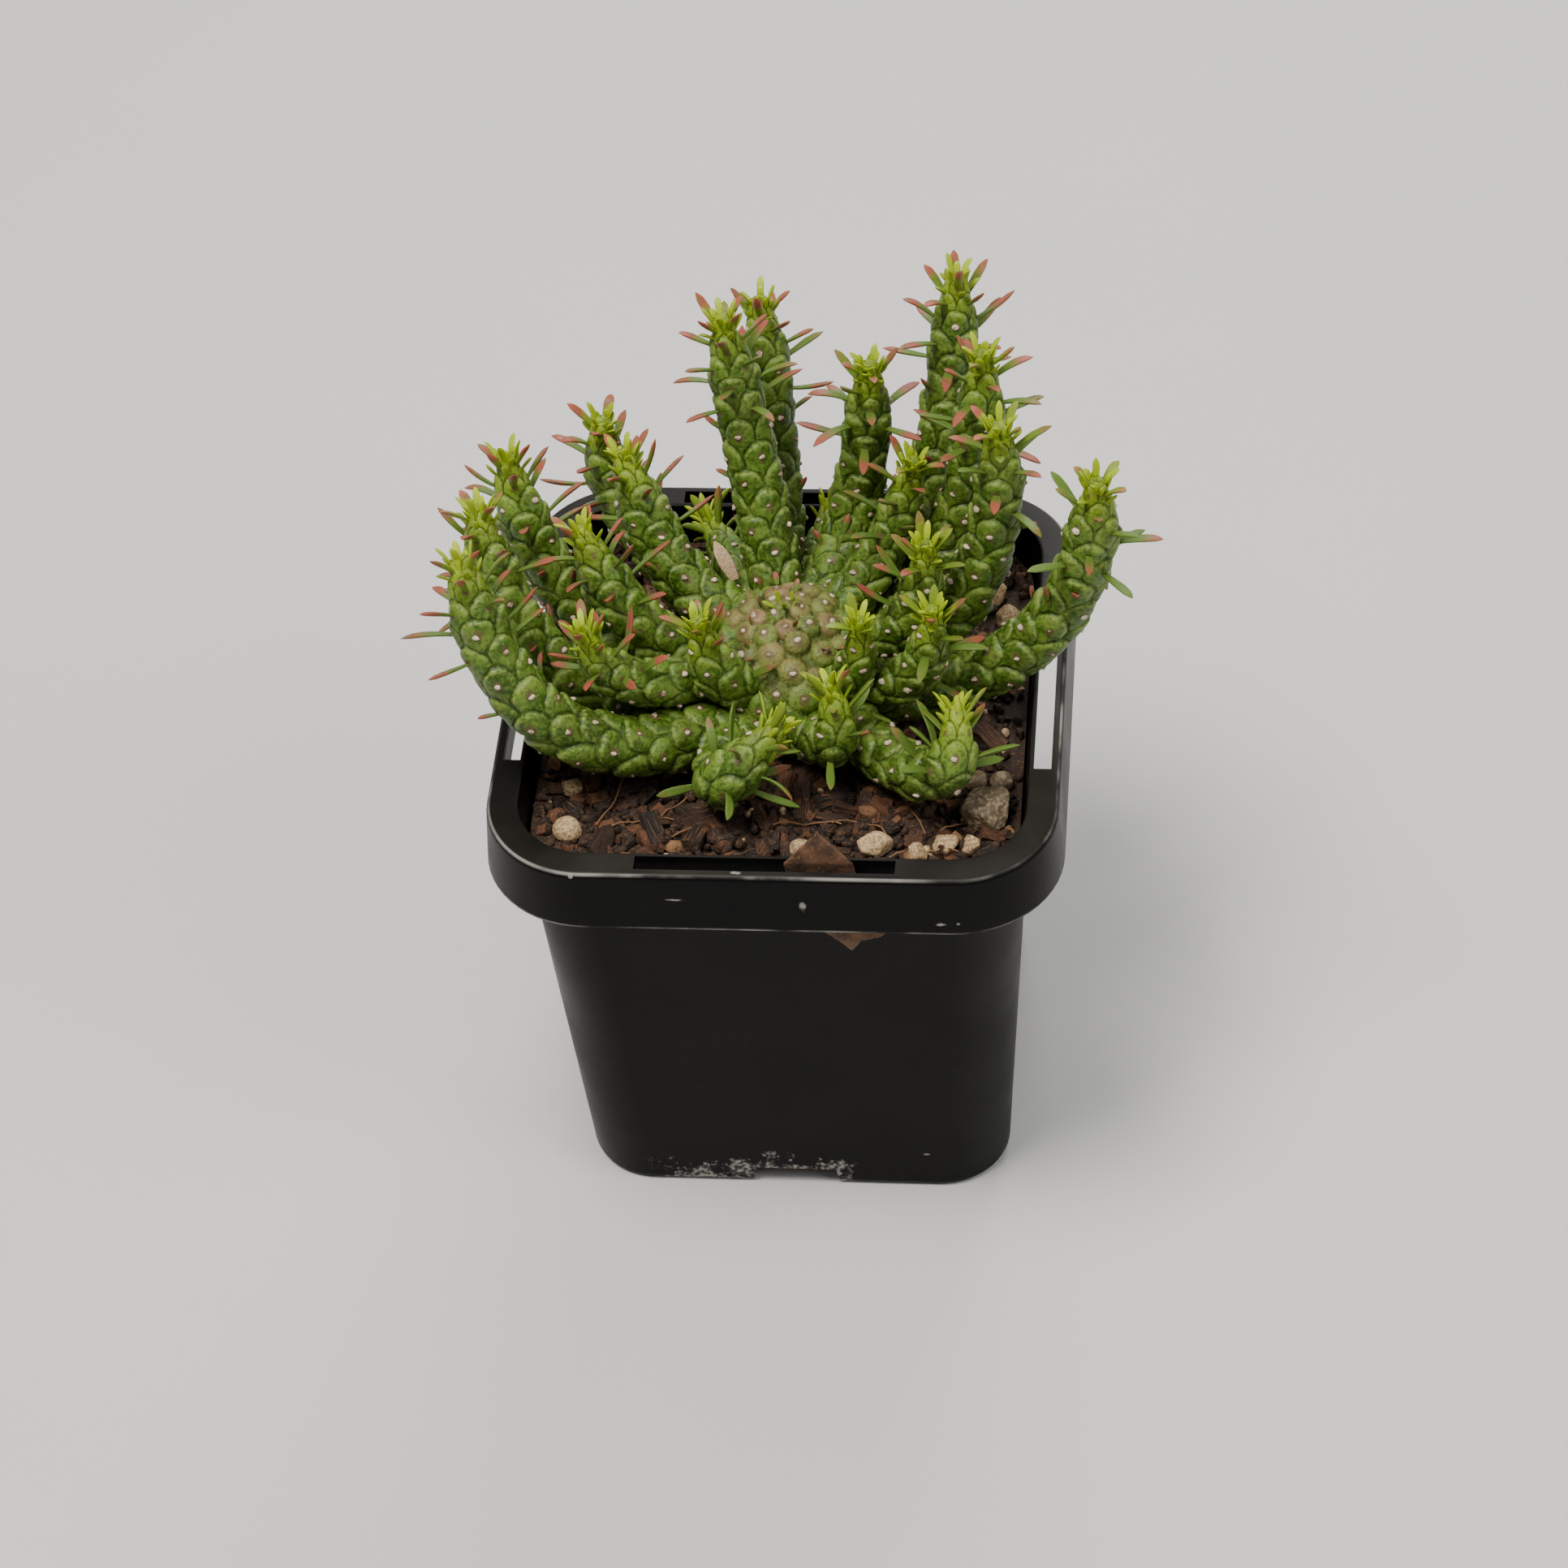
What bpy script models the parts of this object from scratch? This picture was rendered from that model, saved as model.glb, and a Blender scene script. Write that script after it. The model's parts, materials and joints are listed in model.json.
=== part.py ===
"""Medusa's head euphorbia in its square nursery pot.

Metres, +Z up, front at -Y, origin at the middle of the pot's underside.
The short stem sits in a plain hole in the soil and carries whorls of snaky arms. Each arm is
studded with tubercles, bears narrow leaves towards its end and closes in a small leaf rosette.
"""
import math
import random

import bmesh
import bpy
import numpy as np

MM = 0.001
SEED = 23

# Gaps between pieces that touch
SEAT_GAP = 0.3 * MM
NEIGHBOUR_GAP = 0.5 * MM

# Pot: half widths and corner radii of its rounded square section
POT_HEIGHT = 75.8 * MM
RIM_HALF = 40.0 * MM
RIM_CORNER = 14.6 * MM
RIM_ROUND = 0.9 * MM
ROUND_PART = 0.3
MOUTH_HALF = 35.4 * MM
LIP_PLATE = 1.2 * MM
SKIRT_HEIGHT = 10.0 * MM
SKIRT_WALL = 1.1 * MM
SKIRT_FLARE = 0.7 * MM
SHOULDER_HALF = 35.9 * MM
FOOT_HALF = 31.5 * MM
FOOT_ROUND = 1.2 * MM
BODY_CORNER = 10.0 * MM
WALL = 0.9 * MM
FLOOR = 1.3 * MM
CORNER_STEPS = 6
SLOT_LENGTH = 36.0 * MM
SLOT_WIDTH = 2.5 * MM
SLOT_CENTRE = 37.35 * MM
NOTCH_FOOT_WIDTH = 14.7 * MM
NOTCH_TOP_WIDTH = 11.8 * MM
NOTCH_HEIGHT = 3.5 * MM
NOTCH_INNER = 24.0 * MM

# Soil
SOIL_TOP = 69.6 * MM
CHIP_COUNT = 50
CHIP_LENGTH = (3.2 * MM, 7.0 * MM)
CHIP_WIDTH = (1.6 * MM, 3.4 * MM)
CHIP_THICK = (1.4 * MM, 2.4 * MM)
CHIP_NARROW_END = 0.65
CHIP_NARROW_TOP = 0.7
CHIP_LIFT = 0.3 * MM
CHIP_EDGE = 2.0 * MM
CHIP_STEM_GAP = 1.0 * MM
CHIP_TILT = math.radians(24)

# Stem head: radius and height down its profile, from its buried foot to its crown
HEAD_CENTRE = np.array([0.5, 1.0, 0.0]) * MM
HEAD_PROFILE = [(5.5, 57.0), (10.5, 60.5), (12.6, 66.0), (13.0, 71.0), (12.8, 76.0), (11.4, 80.2),
                (8.8, 83.6), (5.6, 86.0), (2.2, 87.2)]
HEAD_CROWN = 88.2 * MM
HEAD_COLUMNS = 10
HEAD_TUBERCLE_LIFT = 1.7 * MM
HEAD_SHOULDER_LIFT = 1.36 * MM
HEAD_HOLE_GAP = 0.45 * MM

# Arms: tubercles stand in whorls of four, each whorl turned by half a step from the last
ARM_COLUMNS = 8
ROW_SPACING = 3.85 * MM
ROW_SPACING_TIP = 0.62
ROW_TWIST = math.radians(3)
GROOVE = 0.82
SHOULDER = 0.99
APEX = 1.05
APEX_FORWARD = 0.45
SHOULDER_BACK = 0.3
TAPER = 0.16
TIP_TAPER_LENGTH = 13.0 * MM
TIP_RADIUS = 0.35
TIP_HEIGHT = 0.6 * MM
ROSETTE_REACH = 2.5 * MM
PATH_STEPS = 96

# Where an arm leaves the head: reach from the head's axis and height
LOW_ROOT = (9.0, 75.0)
HIGH_ROOT = (6.0, 81.0)

# Leaves
LEAF_LENGTH = 6.6 * MM
LEAF_WIDTH = 1.35 * MM
LEAF_KEEL = 0.75 * MM
LEAF_SINK = 1.0 * MM
LEAF_BELLY = 0.55
LEAF_BEND = 0.6
LEAF_FOOT = 0.65
LEAF_YOUNG_PART = 0.62
LEAF_FULL_LENGTH_FROM = 9.0 * MM
LEAF_SPREAD = (38, 50)
LEAF_SPREAD_DRAW = 8
LEAF_DROOP = (-0.05, 0.16)
LEAF_LENGTH_DRAW = (0.85, 1.1)
LEAFY_LENGTH = 15.0 * MM
LEAF_CHANCE = 0.52
LEAF_CLEARANCE = 1.3 * MM
ROSETTE_LEAVES = 4
ROSETTE_LENGTH = 3.2 * MM
ROSETTE_WIDTH = 1.08 * MM
ROSETTE_ROOT = 0.2 * MM
ROSETTE_SPREAD = math.radians(27)

# Name, root, root heading, then heading, reach and height of the bend and of the tip, and girth.
# Headings are in degrees from +X towards +Y, the rest in millimetres, girth as a radius.
ARMS = [
    ("arm_left_front", LOW_ROOT, 243, (221, 48, 75), (196, 44.5, 111.5), 4.7),
    ("arm_left_outer", LOW_ROOT, 200, (199, 42, 75), (179, 42.0, 109.0), 4.6),
    ("arm_left_rear", LOW_ROOT, 174, (178, 36, 76), (163, 41.5, 108.5), 4.4),
    ("arm_left_inner", HIGH_ROOT, 186, (196, 22, 79), (176, 29.0, 104.0), 4.2),
    ("arm_left_short", HIGH_ROOT, 213, (215, 31, 82), (206, 30.0, 99.0), 3.8),
    ("arm_rear_left_inner", HIGH_ROOT, 150, (155, 21, 82), (145, 29.5, 105.0), 4.4),
    ("arm_rear_left_outer", LOW_ROOT, 134, (135, 46, 78), (134, 40.0, 99.5), 4.4),
    ("arm_rear_inner", HIGH_ROOT, 105, (103, 21, 92), (111, 26.5, 123.0), 4.2),
    ("arm_rear_outer", LOW_ROOT, 99, (97, 37, 86), (98, 38.0, 115.5), 4.2),
    ("arm_rear_right_inner", HIGH_ROOT, 70, (71, 30, 76), (66, 28.0, 113.6), 4.1),
    ("arm_rear_right_tall", LOW_ROOT, 53, (48, 34, 78), (55, 41.0, 124.0), 4.2),
    ("arm_right_rear", LOW_ROOT, 27, (28, 31, 79), (34, 33.5, 122.0), 4.1),
    ("arm_right_outer", LOW_ROOT, 6, (7, 33, 81), (12, 31.0, 119.5), 4.2),
    ("arm_right_rear_inner", HIGH_ROOT, 42, (42, 22, 86), (39, 23.3, 105.6), 3.7),
    ("arm_right_inner", HIGH_ROOT, 357, (355, 21, 81), (356, 20.5, 104.5), 3.7),
    ("arm_right_long", LOW_ROOT, 328, (358, 45, 75), (357, 44.2, 117.0), 4.5),
    ("arm_right_front_inner", HIGH_ROOT, 335, (333, 25, 76), (335, 24.0, 100.5), 3.7),
    ("arm_front_right_bud", HIGH_ROOT, 314, (319, 16, 78), (322, 14.3, 97.0), 3.3),
    ("arm_front_left_inner", HIGH_ROOT, 242, (234, 16, 79), (218, 14.5, 97.0), 4.0),
    ("arm_front_left_low", LOW_ROOT, 240, (249, 39, 75), (278, 19.5, 87.5), 4.3),
    ("arm_front_low", LOW_ROOT, 280, (295, 27, 77), (295, 16.0, 91.0), 3.9),
    ("arm_front_right_low", LOW_ROOT, 314, (309, 46, 76), (324, 30.5, 90.5), 4.3),
    ("arm_back_left_low", LOW_ROOT, 115, (114, 30, 76), (117, 36.0, 79.5), 3.4),
    ("arm_back_low", LOW_ROOT, 80, (83, 30, 77), (83, 33.0, 82.0), 3.5),
]

# Loose stones on the soil: name, place, half sizes, turn, roughness of outline, colour
STONE_FLAT = 0.55
STONE_SMALL = 2.2
STONES = [
    ("stone_grey_large", (29.2, -21.9), (4.0, 3.4, 3.1), 20, 0.16, "stone"),
    ("pebble_round", (-28.9, -26.8), (2.1, 2.0, 1.9), 0, 0.05, "pumice"),
    ("pumice_front", (14.2, -28.9), (2.5, 1.9, 1.9), 10, 0.2, "pumice"),
    ("pumice_middle", (4.0, -29.6), (1.7, 1.5, 1.5), 30, 0.18, "pumice"),
    ("pumice_corner_a", (24.0, -28.0), (1.9, 1.5, 1.6), 40, 0.2, "pumice"),
    ("pumice_corner_b", (20.3, -30.0), (1.6, 1.4, 1.4), 70, 0.2, "pumice"),
    ("pumice_corner_c", (28.0, -28.0), (1.5, 1.4, 1.3), 110, 0.2, "pumice"),
    ("pebble_grey_a", (31.7, -15.6), (1.7, 1.6, 1.4), 15, 0.12, "stone"),
    ("pebble_grey_b", (27.9, -15.4), (1.7, 1.5, 1.4), 75, 0.12, "stone"),
    ("pumice_rear_a", (28.7, 22.4), (2.2, 1.8, 1.9), 60, 0.2, "pumice"),
    ("pumice_rear_b", (31.2, 17.3), (1.9, 2.2, 1.8), 20, 0.2, "pumice"),
    ("pumice_side", (-29.4, -18.0), (1.5, 1.4, 1.2), 35, 0.18, "pumice"),
    ("bark_lump", (-27.0, 25.0), (3.3, 2.6, 2.4), 25, 0.2, "bark"),
    ("bark_chip", (-24.0, -28.6), (3.0, 1.5, 1.3), 75, 0.16, "bark"),
]

# Dry leaf pushed down through the front slot: its outline as x and z
DRY_LEAF_THICK = 0.6 * MM
DRY_LEAF_OUTLINE = [(7.4, 80.6), (9.2, 78.6), (12.2, 75.6), (13.4, 68.0), (17.8, 62.8), (15.4, 60.6),
                    (12.6, 59.8), (11.1, 56.6), (9.4, 59.4), (6.6, 62.0), (3.4, 68.0), (2.6, 75.6), (5.6, 78.4)]


def remove_old_objects():
    for obj in list(bpy.data.objects):
        bpy.data.objects.remove(obj, do_unlink=True)


def make_collection(name):
    collection = bpy.data.collections.new(name)
    bpy.context.scene.collection.children.link(collection)
    return collection


def make_material(name, colour, roughness, metallic=0.0):
    material = bpy.data.materials.new(name)
    material.use_nodes = True
    shader = material.node_tree.nodes["Principled BSDF"]
    shader.inputs["Base Color"].default_value = (*colour, 1.0)
    shader.inputs["Roughness"].default_value = roughness
    shader.inputs["Metallic"].default_value = metallic
    return material


def pot_material():
    return make_material("black_plastic", (0.012, 0.012, 0.013), 0.42)


def soil_material():
    return make_material("bark_soil", (0.075, 0.042, 0.03), 0.95)


def plant_material():
    return make_material("euphorbia_green", (0.13, 0.23, 0.075), 0.55)


def stone_material():
    return make_material("grey_stone", (0.25, 0.21, 0.16), 0.85)


def pumice_material():
    return make_material("pale_pumice", (0.62, 0.52, 0.4), 0.9)


def bark_material():
    return make_material("red_bark", (0.2, 0.085, 0.05), 0.9)


def dry_leaf_material():
    return make_material("dry_leaf_brown", (0.13, 0.07, 0.04), 0.8)


def object_from_bmesh(name, bm, material, collection):
    """Turns a bmesh into an object with outward faces."""
    bmesh.ops.recalc_face_normals(bm, faces=bm.faces)
    mesh = bpy.data.meshes.new(name)
    bm.to_mesh(mesh)
    bm.free()
    obj = bpy.data.objects.new(name, mesh)
    obj.data.materials.append(material)
    collection.objects.link(obj)
    return obj


def hide_cutter(obj):
    obj.hide_render = True
    obj.display_type = "WIRE"


def add_boolean(obj, collection, operation, solver="EXACT"):
    modifier = obj.modifiers.new(operation.title(), "BOOLEAN")
    modifier.operation = operation
    modifier.operand_type = "COLLECTION"
    modifier.collection = collection
    modifier.solver = solver
    return modifier


def apply_modifiers(obj):
    """Keeps the object's evaluated mesh as its own."""
    depsgraph = bpy.context.evaluated_depsgraph_get()
    mesh = bpy.data.meshes.new_from_object(obj.evaluated_get(depsgraph))
    obj.modifiers.clear()
    obj.data = mesh


def clear_collection(collection):
    for obj in list(collection.objects):
        bpy.data.objects.remove(obj, do_unlink=True)


def shells_of(bm):
    """Groups of faces that hang together."""
    left = set(bm.faces)
    shells = []
    while left:
        front = [left.pop()]
        shell = list(front)
        while front:
            face = front.pop()
            for edge in face.edges:
                for neighbour in edge.link_faces:
                    if neighbour in left:
                        left.remove(neighbour)
                        front.append(neighbour)
                        shell.append(neighbour)
        shells.append(shell)
    return shells


def keep_outer_shell(obj):
    """Fills hollows that fusing sealed and drops loose scraps, by keeping the largest shell."""
    bm = bmesh.new()
    bm.from_mesh(obj.data)
    shells = sorted(shells_of(bm), key=lambda shell: sum(face.calc_area() for face in shell))
    for shell in shells[:-1]:
        bmesh.ops.delete(bm, geom=shell, context="FACES")
    bm.to_mesh(obj.data)
    bm.free()


def join_repeats(obj, repeats):
    """Fuses every object of the collection into obj and removes them."""
    add_boolean(obj, repeats, "UNION", "MANIFOLD")
    apply_modifiers(obj)
    clear_collection(repeats)
    keep_outer_shell(obj)


# Pot
def rounded_square(half, corner, height):
    """Points round a square with rounded corners at one height."""
    points = []
    for quarter in range(4):
        turn = math.radians(90 * quarter)
        cos, sin = math.cos(turn), math.sin(turn)
        for step in range(CORNER_STEPS + 1):
            angle = math.radians(90) * step / CORNER_STEPS
            x = half - corner + corner * math.cos(angle)
            y = half - corner + corner * math.sin(angle)
            points.append((x * cos - y * sin, x * sin + y * cos, height))
    return points


def loft(name, rings, material, collection):
    """Skins a row of rings with equal counts of points and closes both ends."""
    bm = bmesh.new()
    loops = [[bm.verts.new(point) for point in ring] for ring in rings]
    count = len(loops[0])
    for lower, upper in zip(loops, loops[1:]):
        for i in range(count):
            j = (i + 1) % count
            bm.faces.new((lower[i], lower[j], upper[j], upper[i]))
    bm.faces.new(loops[0])
    bm.faces.new(loops[-1])
    return object_from_bmesh(name, bm, material, collection)


def corner_radius(half):
    return max(BODY_CORNER, RIM_CORNER + half - RIM_HALF)


def pot_section():
    """Half width and height from the underside, out round the lip and down to the floor."""
    lip_under = POT_HEIGHT - LIP_PLATE
    skirt_foot = POT_HEIGHT - SKIRT_HEIGHT
    return [
        (FOOT_HALF - FOOT_ROUND, 0.0),
        (FOOT_HALF - ROUND_PART * FOOT_ROUND, ROUND_PART * FOOT_ROUND),
        (FOOT_HALF, FOOT_ROUND),
        (SHOULDER_HALF, lip_under),
        (RIM_HALF - SKIRT_WALL, lip_under),
        (RIM_HALF + SKIRT_FLARE - SKIRT_WALL, skirt_foot),
        (RIM_HALF + SKIRT_FLARE, skirt_foot),
        (RIM_HALF, POT_HEIGHT - RIM_ROUND),
        (RIM_HALF - ROUND_PART * RIM_ROUND, POT_HEIGHT - ROUND_PART * RIM_ROUND),
        (RIM_HALF - RIM_ROUND, POT_HEIGHT),
        (MOUTH_HALF, POT_HEIGHT),
        (SHOULDER_HALF - WALL, lip_under),
        (FOOT_HALF - WALL, FLOOR),
    ]


def inner_half(height):
    """Half width of the pot's inside at a height."""
    top = POT_HEIGHT - LIP_PLATE
    slope = (SHOULDER_HALF - FOOT_HALF) / (top - FLOOR)
    return FOOT_HALF - WALL + slope * (height - FLOOR)


def box_cutter(name, size, place, top_scale, collection):
    """A box with a narrower top, placed by its distance from the pot's axis, height and turn."""
    bm = bmesh.new()
    bmesh.ops.create_cube(bm, size=1.0)
    for vert in bm.verts:
        narrow = top_scale if vert.co.z > 0 else 1.0
        vert.co.x = vert.co.x * size[0] * narrow
        vert.co.y *= size[1]
        vert.co.z *= size[2]
    mesh = bpy.data.meshes.new(name)
    bm.to_mesh(mesh)
    bm.free()
    obj = bpy.data.objects.new(name, mesh)
    distance, height, turn = place
    obj.location = (-distance * math.sin(turn), distance * math.cos(turn), height)
    obj.rotation_euler = (0.0, 0.0, turn)
    collection.objects.link(obj)
    hide_cutter(obj)
    return obj


def make_pot_cutters(collection):
    """A slot through the lip and a drain notch through wall and floor on each side."""
    past = 1.0 * MM
    notch_depth = FOOT_HALF + past - NOTCH_INNER
    notch_size = (NOTCH_FOOT_WIDTH, notch_depth, 2 * NOTCH_HEIGHT)
    notch_scale = NOTCH_TOP_WIDTH / NOTCH_FOOT_WIDTH
    for side in range(4):
        turn = math.radians(90 * side)
        slot_size = (SLOT_LENGTH, SLOT_WIDTH, LIP_PLATE + 2 * past)
        slot_place = (SLOT_CENTRE, POT_HEIGHT - LIP_PLATE / 2, turn)
        box_cutter(f"slot_cutter_{side}", slot_size, slot_place, 1.0, collection)
        notch_place = (NOTCH_INNER + notch_depth / 2, 0.0, turn)
        box_cutter(f"notch_cutter_{side}", notch_size, notch_place, notch_scale, collection)


def make_pot(collection, cutters):
    rings = [rounded_square(half, corner_radius(half), height) for half, height in pot_section()]
    pot = loft("pot", rings, pot_material(), collection)
    make_pot_cutters(cutters)
    add_boolean(pot, cutters, "DIFFERENCE")
    apply_modifiers(pot)
    pot.data.shade_smooth()
    pot.data.set_sharp_from_angle(angle=math.radians(30))
    return pot


# Arm paths
def polar_point(reach, heading, height):
    """A point given by its distance and direction from the head's axis, in millimetres and degrees."""
    angle = math.radians(heading)
    return HEAD_CENTRE + np.array([reach * math.cos(angle), reach * math.sin(angle), height]) * MM


class ArmPath:
    """An arm's centre line with a frame that doesn't twist along it."""

    def __init__(self, plan):
        self.name, root, root_heading, bend, tip, girth = plan
        self.girth = girth * MM
        start = polar_point(root[0], root_heading, root[1])
        middle = polar_point(bend[1], bend[0], bend[2])
        end = polar_point(tip[1], tip[0], tip[2])
        t = np.linspace(0.0, 1.0, PATH_STEPS)[:, None]
        self.points = (1 - t) ** 2 * start + 2 * t * (1 - t) * middle + t ** 2 * end
        steps = np.diff(self.points, axis=0)
        self.along = np.concatenate([[0.0], np.linalg.norm(steps, axis=1).cumsum()])
        self.length = self.along[-1] - ROSETTE_REACH
        slopes = np.gradient(self.points, axis=0)
        self.tangents = slopes / np.linalg.norm(slopes, axis=1)[:, None]
        self.sides = self.carry_side()
        self.rows = self.row_places()

    def carry_side(self):
        """Carries a sideways direction along the path."""
        side = np.cross(self.tangents[0], [0.0, 0.0, 1.0])
        sides = []
        for tangent in self.tangents:
            side = side - tangent * np.dot(side, tangent)
            side = side / np.linalg.norm(side)
            sides.append(side)
        return np.array(sides)

    def row_places(self):
        """Distances of the whorls along the arm, closer together towards its end."""
        rows = [0.0]
        while rows[-1] < self.length:
            left = self.length - rows[-1]
            near_tip = min(left / LEAFY_LENGTH, 1.0)
            rows.append(rows[-1] + ROW_SPACING * (ROW_SPACING_TIP + (1 - ROW_SPACING_TIP) * near_tip))
        scale = self.length / rows[-1]
        return [row * scale for row in rows]

    def frame(self, distance):
        """Centre, tangent and two directions across the arm at a distance along it."""
        centre, tangent, side = (
            np.array([np.interp(distance, self.along, values[:, i]) for i in range(3)])
            for values in (self.points, self.tangents, self.sides))
        tangent = tangent / np.linalg.norm(tangent)
        side = side - tangent * np.dot(side, tangent)
        side = side / np.linalg.norm(side)
        return centre, tangent, side, np.cross(tangent, side)

    def radius(self, distance):
        """Outer radius at a distance along the arm."""
        left = max(self.length - distance, 0.0)
        closing = min(TIP_RADIUS + left / TIP_TAPER_LENGTH, 1.0)
        return self.girth * (1 - TAPER * distance / self.length) * closing

    def surface(self, distance, angle, lift):
        centre, _, side, up = self.frame(distance)
        across = side * math.cos(angle) + up * math.sin(angle)
        return centre + across * self.radius(distance) * lift

    def outline(self):
        """Sampled centre points and radii, for clearance checks."""
        radii = np.array([self.radius(distance) for distance in self.along])
        return self.points, radii


def head_radius(height):
    heights = [point[1] * MM for point in HEAD_PROFILE] + [HEAD_CROWN]
    radii = [point[0] * MM for point in HEAD_PROFILE] + [0.0]
    return float(np.interp(height, heights, radii, right=0.0))


def crowded_length(path, others):
    """How far along the arm it still runs within reach of the head or of another arm."""
    points, radii = path.outline()
    reach = np.linalg.norm((points - HEAD_CENTRE)[:, :2], axis=1)
    bulk = np.array([head_radius(point[2] - radius) for point, radius in zip(points, radii)])
    near = reach < bulk + HEAD_TUBERCLE_LIFT + radii + NEIGHBOUR_GAP
    for other in others:
        other_points, other_radii = other.outline()
        apart = np.linalg.norm(points[:, None] - other_points[None], axis=2)
        needed = (radii[:, None] + other_radii[None]) * APEX + NEIGHBOUR_GAP
        near |= (apart < needed).any(axis=1)
    return path.along[np.nonzero(near)[0].max()]


def split_row(path, others):
    """First whorl that stands free, where the arm's own piece begins."""
    crowded = crowded_length(path, others)
    return next(i for i, row in enumerate(path.rows) if row > crowded)


# Tubercled skins
def tubercle_faces(bm, grid, columns, first, last, inner):
    """Joins groove points in diamonds round a shoulder and an apex point each."""
    for row in range(first, last + 1):
        for column in range(columns):
            left, right = (column - 1) % columns, (column + 1) % columns
            if (row + column) % 2:
                continue
            if row == first:
                bm.faces.new((grid[row, left], grid[row, column], grid[row + 1, column]))
                bm.faces.new((grid[row, column], grid[row, right], grid[row + 1, column]))
                continue
            if row == last:
                bm.faces.new((grid[row, column], grid[row, left], grid[row - 1, column]))
                bm.faces.new((grid[row, right], grid[row, column], grid[row - 1, column]))
                continue
            shoulder, apex = inner(row, column)
            below, above = grid[row - 1, column], grid[row + 1, column]
            near, far = grid[row, left], grid[row, right]
            for face in ((below, far, shoulder), (below, shoulder, near), (shoulder, far, apex),
                         (shoulder, apex, near), (apex, far, above), (apex, above, near)):
                bm.faces.new(face)


def arm_skin(path, first, last, start, end, draw, closed_tip):
    """The arm's tubercled surface from one whorl to another, and where its apexes lie."""
    bm = bmesh.new()
    places = dict(enumerate(path.rows))
    places[first], places[last] = start, end
    grid, apexes = {}, []
    step = 2 * math.pi / ARM_COLUMNS

    def angle_of(row, column):
        return step * column + ROW_TWIST * row

    for row in range(first, last + 1):
        for column in range(ARM_COLUMNS):
            if row not in (first, last) and (row + column) % 2 == 0:
                continue
            point = path.surface(places[row], angle_of(row, column), GROOVE)
            grid[row, column] = bm.verts.new(point)

    def inner(row, column):
        gap_up = places[row + 1] - places[row]
        gap_down = places[row] - places[row - 1]
        wobble = 1 + draw.uniform(-0.03, 0.03)
        angle = angle_of(row, column)
        shoulder = path.surface(places[row] - SHOULDER_BACK * gap_down, angle, SHOULDER * wobble)
        forward = places[row] + APEX_FORWARD * gap_up
        apex = path.surface(forward, angle, APEX * wobble)
        apexes.append((row, forward, angle))
        return bm.verts.new(shoulder), bm.verts.new(apex)

    tubercle_faces(bm, grid, ARM_COLUMNS, first, last, inner)
    bm.faces.new([grid[first, column] for column in range(ARM_COLUMNS)])
    ring = [grid[last, column] for column in range(ARM_COLUMNS)]
    if closed_tip:
        centre, tangent, _, _ = path.frame(end)
        top = bm.verts.new(centre + tangent * TIP_HEIGHT)
        for column in range(ARM_COLUMNS):
            bm.faces.new((ring[column], ring[(column + 1) % ARM_COLUMNS], top))
    else:
        bm.faces.new(ring)
    return bm, apexes


# Leaves
def leaf_line(path, distance, angle, spread, length, droop):
    """Root, middle and tip of a leaf that grows from an apex."""
    centre, tangent, side, up = path.frame(distance)
    outward = side * math.cos(angle) + up * math.sin(angle)
    direction = tangent * math.cos(spread) + outward * math.sin(spread)
    root = path.surface(distance, angle, APEX) - direction * LEAF_SINK
    tip = root + direction * (length + LEAF_SINK) - tangent * length * droop
    middle = root + (tip - root) * LEAF_BELLY + tangent * length * droop * LEAF_BEND
    return root, middle, tip, np.cross(tangent, outward)


def leaf_bmesh(line, width):
    """A narrow leaf of three-sided section, flat above and keeled below."""
    root, middle, tip, across = line
    run = (tip - root) / np.linalg.norm(tip - root)
    keel = np.cross(across, run)
    bm = bmesh.new()
    rings = []
    for centre, part in ((root, LEAF_FOOT), (middle, 1.0)):
        half, depth = 0.5 * part * width, part * LEAF_KEEL
        corners = (centre + across * half, centre - across * half, centre + keel * depth)
        rings.append([bm.verts.new(corner) for corner in corners])
    point = bm.verts.new(tip)
    bm.faces.new(rings[0])
    for i in range(3):
        j = (i + 1) % 3
        bm.faces.new((rings[0][i], rings[0][j], rings[1][j], rings[1][i]))
        bm.faces.new((rings[1][i], rings[1][j], point))
    return bm


def leaf_samples(line):
    root, middle, tip, _ = line
    return np.array([middle * 0.6 + root * 0.4, middle, middle * 0.5 + tip * 0.5, tip])


def leaf_is_clear(line, own, paths, taken):
    """Whether the leaf keeps clear of the head, the other arms, their leaves, the pot and the soil."""
    samples = leaf_samples(line)
    leaf_gap = 2 * LEAF_CLEARANCE
    bulk = np.array([head_radius(height) for height in samples[:, 2]]) + HEAD_TUBERCLE_LIFT
    if (np.linalg.norm((samples - HEAD_CENTRE)[:, :2], axis=1) < bulk + LEAF_CLEARANCE).any():
        return False
    for other in paths:
        if other is own:
            continue
        points, radii = other.outline()
        apart = np.linalg.norm(samples[:, None] - points[None], axis=2)
        if (apart < radii[None] * APEX + LEAF_CLEARANCE).any():
            return False
    for name, others in taken:
        if name != own.name and (np.linalg.norm(samples[:, None] - others[None], axis=2) < leaf_gap).any():
            return False
    flat = np.abs(samples[:, :2]).max(axis=1)
    over_rim = (flat > MOUTH_HALF - LEAF_CLEARANCE) & (flat < RIM_HALF + LEAF_CLEARANCE)
    too_low = samples[:, 2] < POT_HEIGHT + LEAF_CLEARANCE
    near_soil = samples[:, 2] < SOIL_TOP + leaf_gap
    return not ((over_rim & too_low) | near_soil).any()


def leans_over_split(line, path, start):
    """Whether the leaf leans back past the face where the arm's own piece begins."""
    centre, tangent, _, _ = path.frame(start)
    return ((leaf_samples(line) - centre) @ tangent < LEAF_KEEL + SEAT_GAP).any()


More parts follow.
